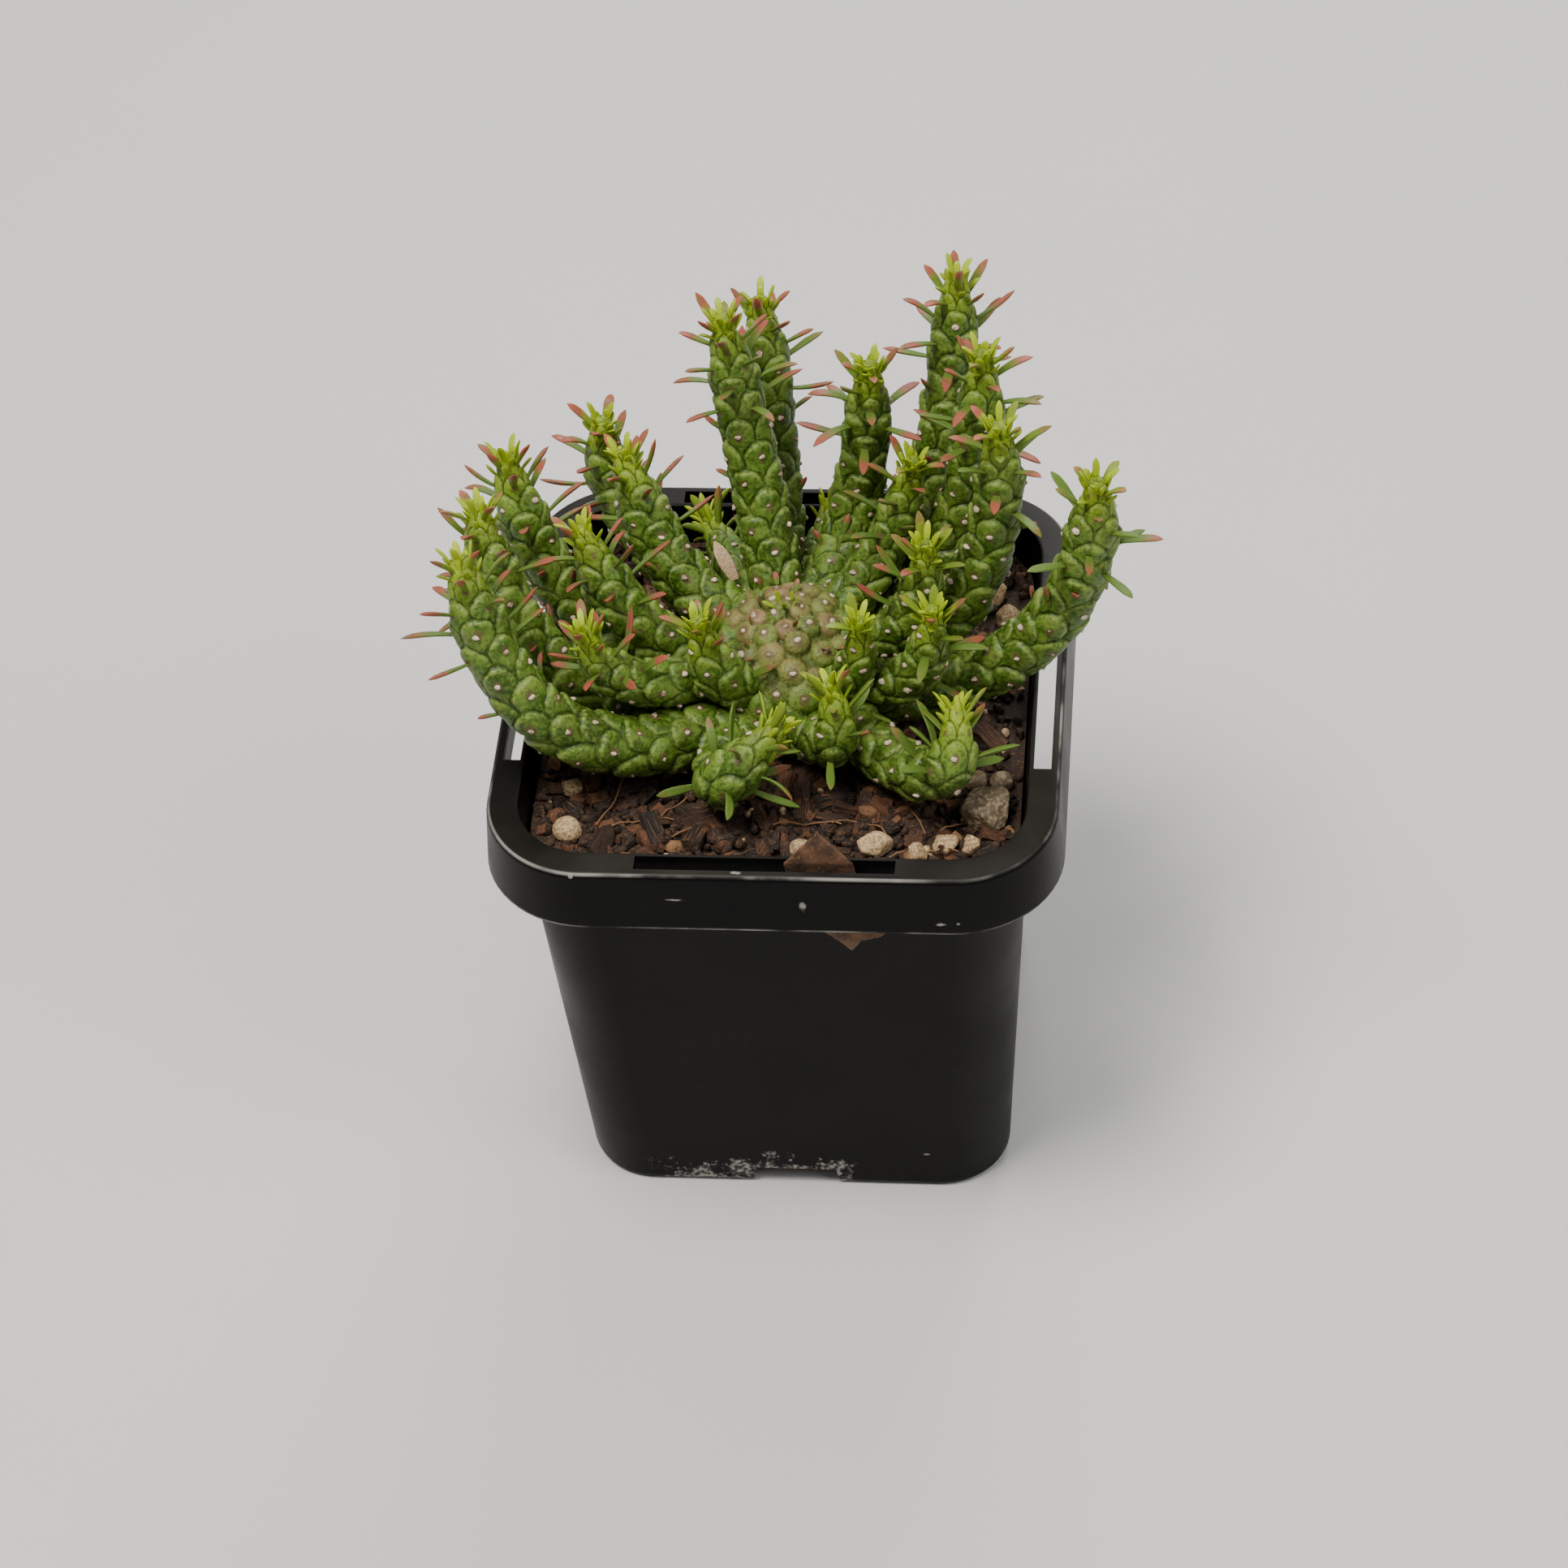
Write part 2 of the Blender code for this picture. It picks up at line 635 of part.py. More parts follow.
def arm_leaf_lines(path, start, apexes, draw, paths, taken):
    """Leaves on the young tubercles, wide apart low down and upright near the tip, then the rosette."""
    lines = []
    for row, distance, angle in apexes:
        left = path.length - distance
        wide = LEAF_SPREAD[0] + LEAF_SPREAD[1] * min(left / LEAFY_LENGTH, 1.0)
        spread = math.radians(wide + draw.uniform(-LEAF_SPREAD_DRAW, LEAF_SPREAD_DRAW))
        grown = LEAF_YOUNG_PART + (1 - LEAF_YOUNG_PART) * min(left / LEAF_FULL_LENGTH_FROM, 1.0)
        length = LEAF_LENGTH * grown * draw.uniform(*LEAF_LENGTH_DRAW)
        droop = draw.uniform(*LEAF_DROOP)
        chance = draw.random()
        if left > LEAFY_LENGTH or chance > LEAF_CHANCE:
            continue
        line = leaf_line(path, distance, angle, spread, length, droop)
        if distance - start < LEAF_LENGTH and leans_over_split(line, path, start):
            continue
        if leaf_is_clear(line, path, paths, taken):
            lines.append((line, LEAF_WIDTH))
    for index in range(ROSETTE_LEAVES):
        angle = 2 * math.pi * index / ROSETTE_LEAVES + draw.uniform(-0.3, 0.3)
        spread = ROSETTE_SPREAD * draw.uniform(0.5, 1.3)
        length = ROSETTE_LENGTH * draw.uniform(*LEAF_LENGTH_DRAW)
        line = leaf_line(path, path.length - ROSETTE_ROOT, angle, spread, length, 0.0)
        lines.append((line, ROSETTE_WIDTH))
    taken.extend((path.name, leaf_samples(line)) for line, _ in lines)
    return lines


def make_arm(path, index, split, paths, taken, material, collection, repeats):
    draw = random.Random(SEED + index)
    last = len(path.rows) - 1
    start = path.rows[split] + SEAT_GAP / 2
    bm, apexes = arm_skin(path, split, last, start, path.length, draw, True)
    arm = object_from_bmesh(path.name, bm, material, collection)
    for number, (line, width) in enumerate(arm_leaf_lines(path, start, apexes, draw, paths, taken)):
        object_from_bmesh(f"{path.name}_leaf_{number}", leaf_bmesh(line, width), material, repeats)
    join_repeats(arm, repeats)
    return arm


# Stem head
def head_point(row, angle, lift):
    """A point on the head's profile at a row, which may lie between two, pushed out by lift."""
    radii = [point[0] for point in HEAD_PROFILE]
    heights = [point[1] for point in HEAD_PROFILE]
    places = range(len(HEAD_PROFILE))
    radius = np.interp(row, places, radii) * MM
    height = np.interp(row, places, heights) * MM
    rise = max(0.0, (height - SOIL_TOP) / (HEAD_CROWN - SOIL_TOP))
    out = radius + lift * (1 - rise) if height > SOIL_TOP else radius
    up = height + lift * rise
    return HEAD_CENTRE + np.array([out * math.cos(angle), out * math.sin(angle), up])


def make_head(paths, splits, material, collection, repeats):
    """The stem's swollen head, tubercled above the soil, with the crowded roots of all arms."""
    bm = bmesh.new()
    last = len(HEAD_PROFILE) - 1
    step = 2 * math.pi / HEAD_COLUMNS
    grid = {}
    for row in range(last + 1):
        for column in range(HEAD_COLUMNS):
            if row not in (0, last) and (row + column) % 2 == 0:
                continue
            grid[row, column] = bm.verts.new(head_point(row, step * column, 0.0))

    def inner(row, column):
        angle = step * column
        shoulder = head_point(row - SHOULDER_BACK, angle, HEAD_SHOULDER_LIFT)
        apex = head_point(row + APEX_FORWARD, angle, HEAD_TUBERCLE_LIFT)
        return bm.verts.new(shoulder), bm.verts.new(apex)

    tubercle_faces(bm, grid, HEAD_COLUMNS, 0, last, inner)
    bm.faces.new([grid[0, column] for column in range(HEAD_COLUMNS)])
    crown = bm.verts.new(HEAD_CENTRE + np.array([0.0, 0.0, HEAD_CROWN]))
    for column in range(HEAD_COLUMNS):
        bm.faces.new((grid[last, column], grid[last, (column + 1) % HEAD_COLUMNS], crown))
    head = object_from_bmesh("stem_head", bm, material, collection)
    for index, (path, split) in enumerate(zip(paths, splits)):
        draw = random.Random(SEED + 100 + index)
        end = path.rows[split] - SEAT_GAP / 2
        stub, _ = arm_skin(path, 0, split, 0.0, end, draw, False)
        object_from_bmesh(f"{path.name}_root", stub, material, repeats)
    join_repeats(head, repeats)
    return head


# Soil and what lies on it
def head_hole_cutter(collection):
    """The plain hole that the stem's foot stands in."""
    rings = []
    for radius, height in HEAD_PROFILE:
        if height * MM > SOIL_TOP + HEAD_HOLE_GAP:
            break
        rings.append((radius * MM + HEAD_HOLE_GAP, height * MM - (HEAD_HOLE_GAP if not rings else 0.0)))
    rings.append((rings[-1][0], SOIL_TOP + 4 * MM))
    sides = 2 * HEAD_COLUMNS
    turns = np.arange(sides) * 2 * math.pi / sides
    around = np.stack([np.cos(turns), np.sin(turns), np.zeros(sides)], axis=1)
    loops = [HEAD_CENTRE + around * radius + np.array([0.0, 0.0, height]) for radius, height in rings]
    cutter = loft("stem_hole_cutter", loops, soil_material(), collection)
    hide_cutter(cutter)


def chip_is_clear(centre, size, paths):
    """Whether a bark chip keeps off the wall, the stem, the arms and the loose stones."""
    bulk = 0.5 * math.hypot(size[0], size[2])
    wall = inner_half(SOIL_TOP) - SEAT_GAP
    arc = wall - BODY_CORNER
    past = np.maximum(np.abs(centre[:2]) - arc, 0.0)
    if np.hypot(*past) > BODY_CORNER - bulk - SEAT_GAP:
        return False
    if np.linalg.norm((centre - HEAD_CENTRE)[:2]) < head_radius(SOIL_TOP) + bulk + CHIP_STEM_GAP:
        return False
    for _, place, half_sizes, *_ in STONES:
        if np.hypot(*(centre[:2] - np.array(place) * MM)) < max(half_sizes[:2]) * MM + bulk:
            return False
    for path in paths:
        points, radii = path.outline()
        if (np.linalg.norm(points - centre, axis=1) < radii * APEX + bulk + SEAT_GAP).any():
            return False
    return True


def add_chip(draw, paths, number, material, repeats):
    size = [draw.uniform(*limits) for limits in (CHIP_LENGTH, CHIP_WIDTH, CHIP_THICK)]
    reach = inner_half(SOIL_TOP) - CHIP_EDGE
    centre = np.array([draw.uniform(-reach, reach), draw.uniform(-reach, reach), SOIL_TOP + CHIP_LIFT])
    turn = draw.uniform(0, math.pi)
    tilt = [draw.uniform(-CHIP_TILT, CHIP_TILT) for _ in range(2)]
    if not chip_is_clear(centre, size, paths):
        return False
    bm = bmesh.new()
    bmesh.ops.create_cube(bm, size=1.0)
    for vert in bm.verts:
        vert.co.x *= size[0] * (CHIP_NARROW_END if vert.co.y > 0 else 1.0)
        vert.co.y *= size[1] * (CHIP_NARROW_TOP if vert.co.z > 0 else 1.0)
        vert.co.z *= size[2]
    chip = object_from_bmesh(f"chip_{number}", bm, material, repeats)
    chip.location = centre
    chip.rotation_euler = (tilt[0], tilt[1], turn)
    return True


def make_soil(paths, collection, repeats, cutters):
    """Soil that fills the pot, with bark chips bedded in its top."""
    material = soil_material()
    bottom = FLOOR + SEAT_GAP
    rings = []
    for height in (bottom, SOIL_TOP):
        half = inner_half(height) - SEAT_GAP
        rings.append(rounded_square(half, BODY_CORNER, height))
    soil = loft("soil", rings, material, collection)
    draw = random.Random(SEED)
    placed = 0
    while placed < CHIP_COUNT:
        placed += add_chip(draw, paths, placed, material, repeats)
    join_repeats(soil, repeats)
    head_hole_cutter(cutters)
    add_boolean(soil, cutters, "DIFFERENCE", "MANIFOLD")
    apply_modifiers(soil)
    return soil


def make_stone(spec, index, materials, collection):
    """A rough stone with a flat underside, lying on the soil."""
    name, place, half_sizes, turn, rough, kind = spec
    draw = random.Random(SEED + 200 + index)
    bm = bmesh.new()
    fineness = 2 if half_sizes[0] > STONE_SMALL else 1
    bmesh.ops.create_icosphere(bm, subdivisions=fineness, radius=1.0)
    angle = math.radians(turn)
    cos, sin = math.cos(angle), math.sin(angle)
    lift = SOIL_TOP + SEAT_GAP + STONE_FLAT * half_sizes[2] * MM
    for vert in bm.verts:
        swell = 1 + draw.uniform(-rough, rough)
        x, y, z = (vert.co[i] * swell * half_sizes[i] * MM for i in range(3))
        vert.co.x = x * cos - y * sin + place[0] * MM
        vert.co.y = x * sin + y * cos + place[1] * MM
        vert.co.z = max(z + lift, SOIL_TOP + SEAT_GAP)
    return object_from_bmesh(name, bm, materials[kind], collection)


def make_dry_leaf(collection):
    """A dry leaf stuck through the slot in the front of the lip."""
    curve = bpy.data.curves.new("dry_leaf", "CURVE")
    curve.dimensions = "2D"
    curve.fill_mode = "BOTH"
    curve.extrude = DRY_LEAF_THICK / 2
    spline = curve.splines.new("POLY")
    spline.points.add(len(DRY_LEAF_OUTLINE) - 1)
    for point, (x, z) in zip(spline.points, DRY_LEAF_OUTLINE):
        point.co = (x * MM, z * MM, 0.0, 1.0)
    spline.use_cyclic_u = True
    guide = bpy.data.objects.new("dry_leaf_curve", curve)
    collection.objects.link(guide)
    slot_inner_edge = SLOT_CENTRE - SLOT_WIDTH / 2
    guide.location = (0.0, -(slot_inner_edge + SEAT_GAP + DRY_LEAF_THICK / 2), 0.0)
    guide.rotation_euler = (math.radians(90), 0.0, 0.0)
    bpy.context.view_layer.update()
    mesh = bpy.data.meshes.new_from_object(guide.evaluated_get(bpy.context.evaluated_depsgraph_get()))
    bm = bmesh.new()
    bm.from_mesh(mesh)
    bm.transform(guide.matrix_world)
    bmesh.ops.remove_doubles(bm, verts=bm.verts, dist=0.00001)
    bpy.data.objects.remove(guide, do_unlink=True)
    return object_from_bmesh("dry_leaf", bm, dry_leaf_material(), collection)


def main():
    remove_old_objects()
    parts = make_collection("potted_medusas_head_euphorbia")
    pot_cutters = make_collection("pot_cutters")
    soil_cutters = make_collection("soil_cutters")
    repeats = make_collection("repeats")
    make_pot(parts, pot_cutters)
    paths = [ArmPath(plan) for plan in ARMS]
    splits = [split_row(path, [other for other in paths if other is not path]) for path in paths]
    green = plant_material()
    make_head(paths, splits, green, parts, repeats)
    taken = []
    for index, (path, split) in enumerate(zip(paths, splits)):
        make_arm(path, index, split, paths, taken, green, parts, repeats)
    make_soil(paths, parts, repeats, soil_cutters)
    materials = {"stone": stone_material(), "pumice": pumice_material(), "bark": bark_material()}
    for index, spec in enumerate(STONES):
        make_stone(spec, index, materials, parts)
    make_dry_leaf(parts)


main()
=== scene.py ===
"""Looks of the potted medusa's head euphorbia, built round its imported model.

Metres, +Z up, the front of the pot at -Y. Every arm repeats the centre line, whorls and leaves of
its solid, with rounded scales, leaf scars and curved leaves in place of the plain ones.
"""

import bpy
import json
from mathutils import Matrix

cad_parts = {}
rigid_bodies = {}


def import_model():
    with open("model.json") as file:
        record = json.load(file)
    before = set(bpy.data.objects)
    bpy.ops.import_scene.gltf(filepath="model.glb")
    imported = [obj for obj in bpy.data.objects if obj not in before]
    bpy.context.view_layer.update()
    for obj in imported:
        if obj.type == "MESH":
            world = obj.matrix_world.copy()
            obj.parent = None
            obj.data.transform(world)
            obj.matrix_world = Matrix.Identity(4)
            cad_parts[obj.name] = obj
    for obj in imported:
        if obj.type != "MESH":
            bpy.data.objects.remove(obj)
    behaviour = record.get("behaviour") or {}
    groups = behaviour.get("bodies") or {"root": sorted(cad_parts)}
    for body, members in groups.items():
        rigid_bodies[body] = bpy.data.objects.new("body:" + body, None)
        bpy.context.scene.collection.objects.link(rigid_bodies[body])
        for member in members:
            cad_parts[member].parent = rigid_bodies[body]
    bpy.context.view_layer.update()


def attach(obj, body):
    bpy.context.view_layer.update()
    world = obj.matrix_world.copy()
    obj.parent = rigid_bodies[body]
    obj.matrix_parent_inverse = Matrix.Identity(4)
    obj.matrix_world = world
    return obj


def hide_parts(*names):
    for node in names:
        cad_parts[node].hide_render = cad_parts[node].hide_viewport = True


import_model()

import json
import logging
import math
import random
from dataclasses import dataclass, field
from enum import Enum
from functools import cache
from typing import Any, NamedTuple

import bpy
import numpy as np
from mathutils import Matrix, Vector, noise

LOG = logging.getLogger("euphorbia")
MM = 0.001
SEED = 23
BODY = "root"
SHADER, GEOMETRY = "ShaderNodeTree", "GeometryNodeTree"

Pair = tuple[float, float]
Triple = tuple[float, float, float]
Mesh, Piece, Material, Tree = bpy.types.Mesh, bpy.types.Object, bpy.types.Material, bpy.types.NodeTree


def mm(*values: float) -> tuple[float, ...]:
    """Millimetres as metres."""
    return tuple(value * MM for value in values)


class Slot(Enum):
    """Material slots of the record."""

    PLASTIC = "black_plastic"
    SOIL = "bark_soil"
    PLANT = "euphorbia_green"
    STONE = "grey_stone"
    PUMICE = "pale_pumice"
    BARK = "red_bark"
    DRY_LEAF = "dry_leaf_brown"


# Node trees
class Term:
    """An output of a node, which can stand in a sum like a number."""

    def __init__(self, sheet: "Sheet", node: bpy.types.Node, output: Any = 0) -> None:
        """Takes one output of a node."""
        self.sheet, self.node, self.socket = sheet, node, node.outputs[output]

    def __getitem__(self, output: Any) -> "Term":
        """Another output of its node."""
        return Term(self.sheet, self.node, output)

    def __add__(self, other: Any) -> "Term":
        """The sum."""
        return self.sheet.math("ADD", self, other)

    def __sub__(self, other: Any) -> "Term":
        """What is left of it."""
        return self.sheet.math("SUBTRACT", self, other)

    def __rsub__(self, other: Any) -> "Term":
        """What it leaves of another value."""
        return self.sheet.math("SUBTRACT", other, self)

    def __mul__(self, other: Any) -> "Term":
        """The product."""
        return self.sheet.math("MULTIPLY", self, other)

    def __truediv__(self, other: Any) -> "Term":
        """The quotient."""
        return self.sheet.math("DIVIDE", self, other)

    def __pow__(self, other: Any) -> "Term":
        """The power."""
        return self.sheet.math("POWER", self, other)

    def __abs__(self) -> "Term":
        """Its size without its sign."""
        return self.sheet.math("ABSOLUTE", self)

    def ramp(self, low: float, high: float, to_low: float = 0.0, to_high: float = 1.0) -> "Term":
        """Maps it smoothly from low and high to to_low and to_high."""
        limits = {"From Min": low, "From Max": high, "To Min": to_low, "To Max": to_high}
        return self.sheet.add("ShaderNodeMapRange", {"Value": self, **limits}, interpolation_type="SMOOTHSTEP")


class Sheet:
    """Adds nodes to a tree and feeds their sockets."""

    def __init__(self, tree: Tree) -> None:
        """Works on one tree."""
        self.tree = tree

    @classmethod
    def start(cls, name: str, kind: str, outputs: str, **inputs: str) -> "Sheet":
        """Starts a tree with named inputs and outputs.

        Args:
            name: The tree's name.
            kind: Its kind.
            outputs: Names of its outputs, with underscores for spaces inside a name.
            **inputs: Names of its inputs by their kind.

        Returns:
            The tree's sheet.
        """
        tree = bpy.data.node_groups.new(name, kind)
        given = [("OUTPUT", "Geometry" if outputs == "Geometry" else "Float", outputs)]
        for side, socket, labels in given + [("INPUT", *item) for item in inputs.items()]:
            for label in labels.split():
                tree.interface.new_socket(label.replace("_", " "), in_out=side, socket_type=f"NodeSocket{socket}")
        return cls(tree)

    def feed(self, socket: bpy.types.NodeSocket, value: Any) -> None:
        """Links a term to a socket or sets the socket's value.

        Args:
            socket: The input to feed.
            value: A term or a plain value.
        """
        if isinstance(value, Term):
            self.tree.links.new(value.socket, socket)
        else:
            socket.default_value = (*value, 1.0) if socket.type == "RGBA" else value

    def node(self, kind: str, inputs: dict[Any, Any] | None = None, **settings: Any) -> bpy.types.Node:
        """Adds a node.

        Args:
            kind: The node's type name.
            inputs: Values or terms by input name or number.
            **settings: The node's own options.

        Returns:
            The new node.
        """
        node = self.tree.nodes.new(kind)
        for name, value in settings.items():
            setattr(node, name, value)
        for key, value in (inputs or {}).items():
            self.feed(node.inputs[key], value)
        return node

    def add(self, kind: str, inputs: dict[Any, Any] | None = None, **settings: Any) -> Term:
        """Adds a node and takes its first output."""
        return Term(self, self.node(kind, inputs, **settings))

    def math(self, operation: str, *values: Any) -> Term:
        """Adds a math node."""
        return self.add("ShaderNodeMath", dict(enumerate(values)), operation=operation)

    def vector(self, operation: str, *values: Any, **inputs: Any) -> Term:
        """Adds a vector math node."""
        return self.add("ShaderNodeVectorMath", {**dict(enumerate(values)), **inputs}, operation=operation)

    def join(self, *parts: Any) -> Term:
        """Makes a vector of numbers."""
        return self.add("ShaderNodeCombineXYZ", dict(enumerate(parts)))

    def split(self, vector: Term) -> Term:
        """Takes a vector apart."""
        return self.add("ShaderNodeSeparateXYZ", {0: vector})

    def waves(self, place: Term, scale: Any, detail: float, **inputs: float) -> Term:
        """Adds a noise texture."""
        return self.add("ShaderNodeTexNoise", {"Vector": place, "Scale": scale, "Detail": detail, **inputs})

    def mix(self, factor: Any, first: Any, second: Any, blend: str = "MIX") -> Term:
        """Mixes two colours, given as terms or as triples."""
        inputs = {"Factor": factor, 6: first, 7: second}
        return self.add("ShaderNodeMix", inputs, data_type="RGBA", blend_type=blend)[2]

    def layers(self, colour: Any, *layers: tuple[Any, Any]) -> Term:
        """Lays colours over one another.

        Args:
            colour: The lowest colour.
            *layers: The mask and the colour of each layer above it.

        Returns:
            The colour on top.
        """
        for mask, over in layers:
            colour = self.mix(mask, colour, over)
        return colour

    def named(self, name: str, kind: str = "FLOAT") -> Term:
        """Reads a value stored on the mesh, in a geometry node tree."""
        node = self.node("GeometryNodeInputNamedAttribute", {"Name": name}, data_type=kind)
        return Term(self, node, [out.enabled and out.name == "Attribute" for out in node.outputs].index(True))

    def store(self, geometry: Term, name: str, value: Term, kind: str = "FLOAT") -> Term:
        """Stores a value on the points of a geometry.

        Args:
            geometry: The geometry.
            name: The attribute's name.
            value: The value.
            kind: Its data type.

        Returns:
            The geometry with the value.
        """
        node = self.node("GeometryNodeStoreNamedAttribute", {"Geometry": geometry, "Name": name}, data_type=kind,
                         domain="POINT")
        self.feed(next(item for item in node.inputs if item.enabled and item.name == "Value"), value)
        return Term(self, node)

    def give(self, **values: Any) -> Tree:
        """Feeds the tree's outputs and hands the tree over."""
        self.node("NodeGroupOutput", values)
        return self.tree

    def give_piece(self, geometry: Term, material: Term, smooth: bool = True) -> Tree:
        """Ends a tree with plain geometry of one material.

        Args:
            geometry: What the tree made.
            material: The material input.
            smooth: Whether its faces are shaded smooth.

        Returns:
            The tree.
        """
        real = self.add("GeometryNodeRealizeInstances", {"Geometry": geometry})
        shaded = self.add("GeometryNodeSetShadeSmooth", {"Geometry": real, "Shade Smooth": smooth})
        return self.give(Geometry=self.add("GeometryNodeSetMaterial", {"Geometry": shaded, "Material": material}))


# Meshes and pieces
def point_mesh(name: str, points: Any, faces: Any = (), edges: Any = (), **values: Any) -> Mesh:
    """Makes a mesh with values stored on its points.

    Args:
        name: The mesh's name.
        points: One row for each point.
        faces: Point numbers of each face.
        edges: Point numbers of each loose edge.
        **values: Numbers or vectors by name, one for each point.

    Returns:
        The mesh.
    """
    mesh = bpy.data.meshes.new(name)
    mesh.from_pydata(np.asarray(points, float).tolist(), edges, faces)
    for key, array in values.items():
        kind, item = ("FLOAT_VECTOR", "vector") if np.ndim(array) == 2 else ("FLOAT", "value")
        mesh.attributes.new(key, kind, "POINT").data.foreach_set(item, np.ravel(np.asarray(array, np.float32)))
    mesh.update()
    return mesh


def ring_faces(rings: int, count: int) -> list[tuple[int, ...]]:
    """Faces that join rings of points, outward where the rings go up and their points turn left."""
    return [(low * count + i, low * count + (i + 1) % count, (low + 1) * count + (i + 1) % count,
             (low + 1) * count + i) for low in range(rings - 1) for i in range(count)]


def capped_faces(rings: list[np.ndarray]) -> list[tuple[int, ...]]:
    """Faces that join rings of points and close the first and the last ring.

    Args:
        rings: The rings in order.

    Returns:
        The faces.
    """
    count = len(rings[0])
    top = (len(rings) - 1) * count
    return [*ring_faces(len(rings), count), tuple(reversed(range(count))), tuple(range(top, top + count))]


def poled_faces(rings: int, count: int) -> list[tuple[int, ...]]:
    """Faces that join rings of points and close the first ring at one more point, the last at the next one.

    Args:
        rings: How many rings there are.
        count: Points in each.

    Returns:
        The faces.
    """
    first, base = rings * count, (rings - 1) * count
    foot = [(first, (i + 1) % count, i) for i in range(count)]
    return ring_faces(rings, count) + foot + [(first + 1, base + i, base + (i + 1) % count) for i in range(count)]


def with_ends(values: np.ndarray, first: Any, last: Any) -> np.ndarray:
    """Flattens the values of a grid of points and adds those of its two poles."""
    return np.concatenate([np.reshape(values, (-1, *np.shape(values)[2:])), [first], [last]])


def strand_mesh(name: str, points: Any, **values: Any) -> Mesh:
    """A mesh of separate lines with the same number of stations each."""
    edges = [(i, i + 1) for i in range(len(points) - 1) if (i + 1) % LEAF_STATIONS]
    return point_mesh(name, points, edges=edges, **values)


def link_object(name: str, data: Any) -> Piece:
    """Puts a mesh, light or camera in the scene.

    Args:
        name: The object's name.
        data: Its data.

    Returns:
        The object.
    """
    obj = bpy.data.objects.new(name, data)
    bpy.context.scene.collection.objects.link(obj)
    return obj


def plain_mesh(piece: Piece) -> Mesh:
    """The piece's mesh as its modifiers leave it."""
    depsgraph = bpy.context.evaluated_depsgraph_get()
    return bpy.data.meshes.new_from_object(piece.evaluated_get(depsgraph), depsgraph=depsgraph)


def bake_modifiers(piece: Piece) -> None:
    """Turns a piece's modifiers into plain mesh.

    Args:
        piece: The piece.
    """
    mesh = plain_mesh(piece)
    piece.modifiers.clear()
    piece.data = mesh


def dress(mesh: Mesh, material: Material, sharp_angle: float = 180.0) -> Mesh:
    """Shades a mesh smooth and gives it its material.

    Args:
        mesh: The mesh.
        material: The material.
        sharp_angle: Edges that bend more than this many degrees stay sharp.

    Returns:
        The same mesh.
    """
    mesh.shade_smooth()
    if sharp_angle < 180.0:
        mesh.set_sharp_from_angle(angle=math.radians(sharp_angle))
    mesh.materials.clear()
    mesh.materials.append(material)
    return mesh


def finish_piece(piece: Piece, node: str) -> None:
    """Ties a finished piece to the frame.

    Args:
        piece: The piece.
        node: The CAD node that it stands for.
    """
    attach(piece, BODY)
    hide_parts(node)
    LOG.info("%s: %d triangles", piece.name, sum(len(face.vertices) - 2 for face in piece.data.polygons))


def grow(name: str, mesh: Mesh, tree: Tree, slot: Slot, node: str, **values: Any) -> None:
    """Runs a geometry node tree on a mesh and ties the result to the frame as a plain mesh.

    Args:
        name: The new piece's name.
        mesh: The tree's starting mesh.
        tree: The tree.
        slot: The material slot of the record that it shows; not used.
        node: The CAD node that it stands for.
        **values: The tree's inputs by name, with underscores for spaces.
    """
    start = link_object(f"{name}.start", mesh)
    modifier = start.modifiers.new(tree.name, "NODES")
    modifier.node_group = tree
    for item in tree.interface.items_tree:
        key = item.name.replace(" ", "_")
        if item.in_out == "INPUT" and key in values:
            modifier[item.identifier] = values.pop(key)
    if values:
        raise ValueError(f"{tree.name} has no inputs {sorted(values)}")
    result = plain_mesh(start)
    bpy.data.objects.remove(start, do_unlink=True)
    finish_piece(link_object(name, result), node)


# Shared shader groups
@cache
def grain_group() -> Tree:
    """Coarse and fine mottling of a surface, with a height for bumps.

    Returns:
        The group.
    """
    sheet = Sheet.start("surface grain", SHADER, "Coarse Fine Height", Float="Coarse_scale Fine_scale Balance")
    given, place = sheet.add("NodeGroupInput"), sheet.add("ShaderNodeTexCoord")["Object"]
    coarse = sheet.waves(place, given["Coarse scale"], 4.0)
    fine = sheet.waves(place, given["Fine scale"], 3.0)
    return sheet.give(Coarse=coarse, Fine=fine, Height=coarse * given["Balance"] + fine)


def speck_group() -> Tree:
    """A mask of scattered specks of dust or lime.

    Returns:
        The group.
    """
    sheet = Sheet.start("specks", SHADER, "Mask", Float="Scale Size Share")
    given, place = sheet.add("NodeGroupInput"), sheet.add("ShaderNodeTexCoord")["Object"]
    cells = sheet.add("ShaderNodeTexVoronoi", {"Vector": place, "Scale": given["Scale"]})
    chosen = sheet.add("ShaderNodeSeparateColor", {"Color": cells["Color"]})["Red"]
    near = sheet.math("LESS_THAN", cells["Distance"], given["Size"])
    return sheet.give(Mask=near * sheet.math("LESS_THAN", chosen, given["Share"]))


